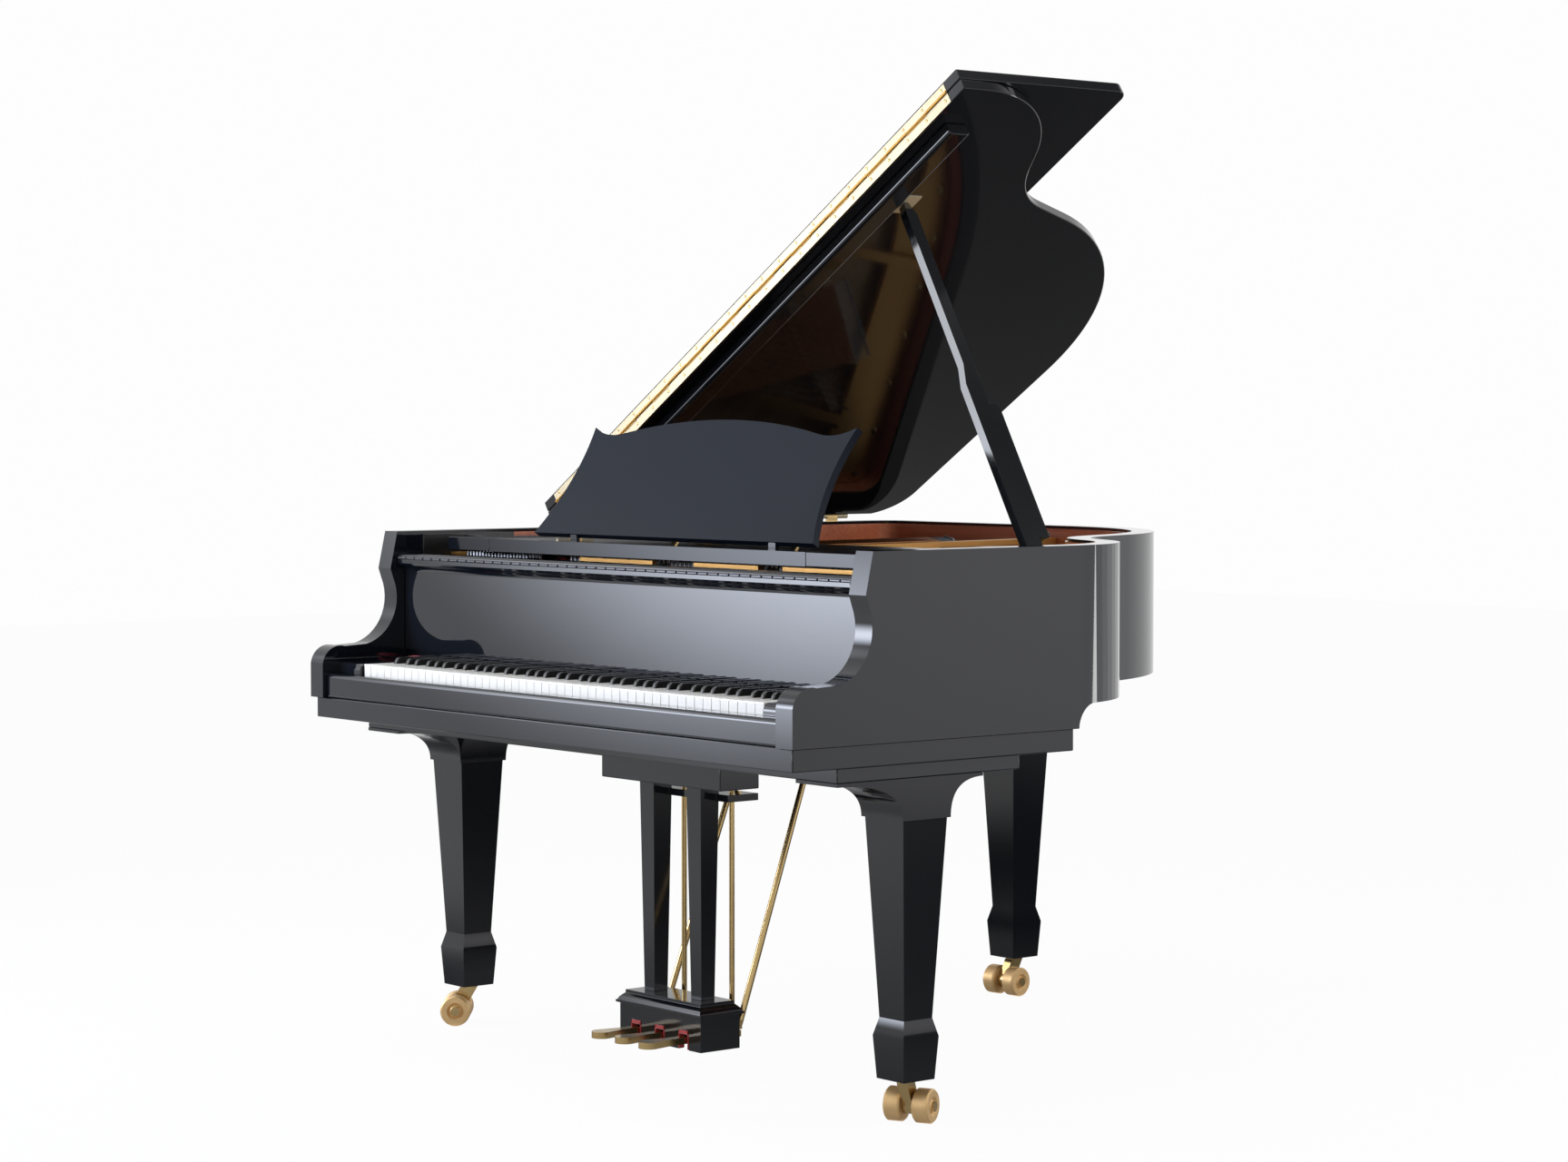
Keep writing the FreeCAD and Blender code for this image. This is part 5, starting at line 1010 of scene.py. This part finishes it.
def softbox(name, place, aim, width, height, radiance, mirrored=True):
    """A flat soft lamp whose face has the given brightness, with or without an image of it in mirrors."""
    lamp = bpy.data.lights.new(name, "AREA")
    lamp.shape = "RECTANGLE"
    lamp.size = width
    lamp.size_y = height
    lamp.energy = radiance * math.pi * width * height
    holder = bpy.data.objects.new(name, lamp)
    holder.visible_glossy = mirrored
    holder.location = place
    holder.rotation_euler = (Vector(aim) - Vector(place)).to_track_quat("-Z", "Y").to_euler()
    scene.collection.objects.link(holder)


def oval_sheet(name, place, facing, half_width, half_height):
    """An oval of rings about its middle, and a fade: the square of one less the squared share of the way to its rim."""
    share = np.linspace(0.0, 1.0, SHEET_RINGS)[:, None]
    angle = np.arange(SHEET_SECTORS) * 2 * math.pi / SHEET_SECTORS
    facing = np.array(Vector(facing).normalized())
    across = np.cross(facing, [0.0, 0.0, 1.0] if abs(facing[2]) < 0.9 else [0.0, 1.0, 0.0])
    across /= np.linalg.norm(across)
    upward = np.cross(across, facing)
    points = (np.array(place) + (share * np.cos(angle) * half_width)[..., None] * across
              + (share * np.sin(angle) * half_height)[..., None] * upward)
    mesh = bpy.data.meshes.new(name)
    mesh.from_pydata(points.reshape(-1, 3).tolist(), [], grid_faces(SHEET_RINGS, SHEET_SECTORS).tolist())
    reach = mesh.attributes.new("reach", "FLOAT", "POINT")
    reach.data.foreach_set("value", np.repeat(share[:, 0], SHEET_SECTORS))
    sheet = bpy.data.objects.new(name, mesh)
    sheet.visible_camera = False
    scene.collection.objects.link(sheet)
    material, tree = bare_material(name)
    mesh.materials.append(material)
    far = put(tree, "Attribute", {"attribute_name": "reach"}).outputs["Fac"]
    near = sums(tree, "SUBTRACT", 1.0, sums(tree, "MULTIPLY", far, far))
    return sheet, tree, sums(tree, "MULTIPLY", near, near)


def soft_panel(name, place, aim, half_width, half_height, peak, tint):
    """A glowing oval whose brightness is the peak times the sheet's fade."""
    _, tree, fade = oval_sheet(name, place, Vector(aim) - Vector(place), half_width, half_height)
    glow = put(tree, "Emission", Color=tint, Strength=sums(tree, "MULTIPLY", fade, peak))
    mixed_surface(tree, "AddShader", glow.outputs[0], put(tree, "BsdfTransparent").outputs[0])


def painted_shade_sheet(name, place, facing, half_width, half_height, depth):
    """A sheet seen only in mirror images, which paints shade into them: an oval that darkens mirror images by its depth
    times the sheet's fade.
    """
    sheet, tree, fade = oval_sheet(name, place, facing, half_width, half_height)
    sheet.visible_diffuse = False
    sheet.visible_shadow = False
    dark = put(tree, "BsdfDiffuse", Color=(0.01, 0.01, 0.01, 1))
    clear = put(tree, "BsdfTransparent")
    mixed_surface(tree, "MixShader", clear.outputs[0], dark.outputs[0], sums(tree, "MULTIPLY", fade, depth))


UPWARD = (0.0, 0.0, 1.0)

studio_floor()
studio_world()
soft_panel("front_left_panel", place=(-1.85, -2.90, 1.15), aim=(0.5, -0.5, 1.0),
           half_width=1.45, half_height=1.0, peak=15.0, tint=(0.80, 0.86, 1.0, 1))
soft_panel("prop_edge_panel", place=(-2.05, -1.80, 1.90), aim=(0.5, -0.1, 1.3),
           half_width=0.75, half_height=0.95, peak=4.5, tint=(0.86, 0.91, 1.0, 1))
soft_panel("right_panel", place=(3.8, 2.4, 0.80), aim=(0.6, 0.0, 0.85),
           half_width=2.0, half_height=1.2, peak=0.5, tint=(1.0, 0.97, 1.06, 1))
# Painted shadow: a sheet on the floor, seen only in mirror images, stands for the piano's shadow on the floor.
painted_shade_sheet("floor_flag", place=(1.0, 1.6, 0.004), facing=UPWARD, half_width=4.8, half_height=4.8, depth=0.97)
# Painted shade: sheets in the air, seen only in mirror images, darken the images in the prop, the fall's lip and the
# desk shelf.
painted_shade_sheet("prop_flag", place=(1.3, 1.9, 3.2), facing=(-0.26, -0.68, -0.69),
          half_width=1.5, half_height=1.5, depth=0.92)
painted_shade_sheet("lip_flag", place=(-2.2, 1.0, 2.7), facing=(0.76, -0.43, -0.48),
          half_width=1.8, half_height=1.5, depth=0.85)
painted_shade_sheet("shelf_flag", place=(-2.7, 1.5, 1.15), facing=(0.76, -0.64, 0.0),
          half_width=1.3, half_height=0.7, depth=0.85)
# Painted shadow on the floor under the rear leg and behind the piano, seen only in mirror images.
painted_shade_sheet("rear_leg_flag", place=(-1.28, -0.33, 0.006), facing=UPWARD, half_width=1.1, half_height=1.1, depth=0.90)
painted_shade_sheet("lid_flag", place=(-0.8, 2.2, 0.006), facing=UPWARD, half_width=1.8, half_height=1.8, depth=0.55)
softbox("overhead_box", place=(-0.3, -1.2, 3.9), aim=(0.0, -0.1, 0.8), width=3.2, height=2.6, radiance=2.2)
softbox("right_key", place=(2.6, 1.2, 2.1), aim=(0.1, 0.2, 0.95), width=0.8, height=0.8, radiance=14.0, mirrored=False)
softbox("right_strip", place=(2.2, 4.0, 1.1), aim=(0.4, 0.3, 0.8), width=0.4, height=2.0, radiance=6.0)

EYE = Vector((5.1445, -4.3716, 1.1913))
SIGHT = Vector((-0.7733, 0.6327, -0.0439))
SENSOR_WIDTH = 36.0
FOCAL_LENGTH = 80.755

camera = bpy.data.objects.new("photo_camera", bpy.data.cameras.new("photo_camera"))
camera.data.sensor_fit = "HORIZONTAL"
camera.data.sensor_width = SENSOR_WIDTH
camera.data.lens = FOCAL_LENGTH
camera.location = EYE
camera.rotation_euler = SIGHT.to_track_quat("-Z", "Y").to_euler()
scene.collection.objects.link(camera)
scene.camera = camera
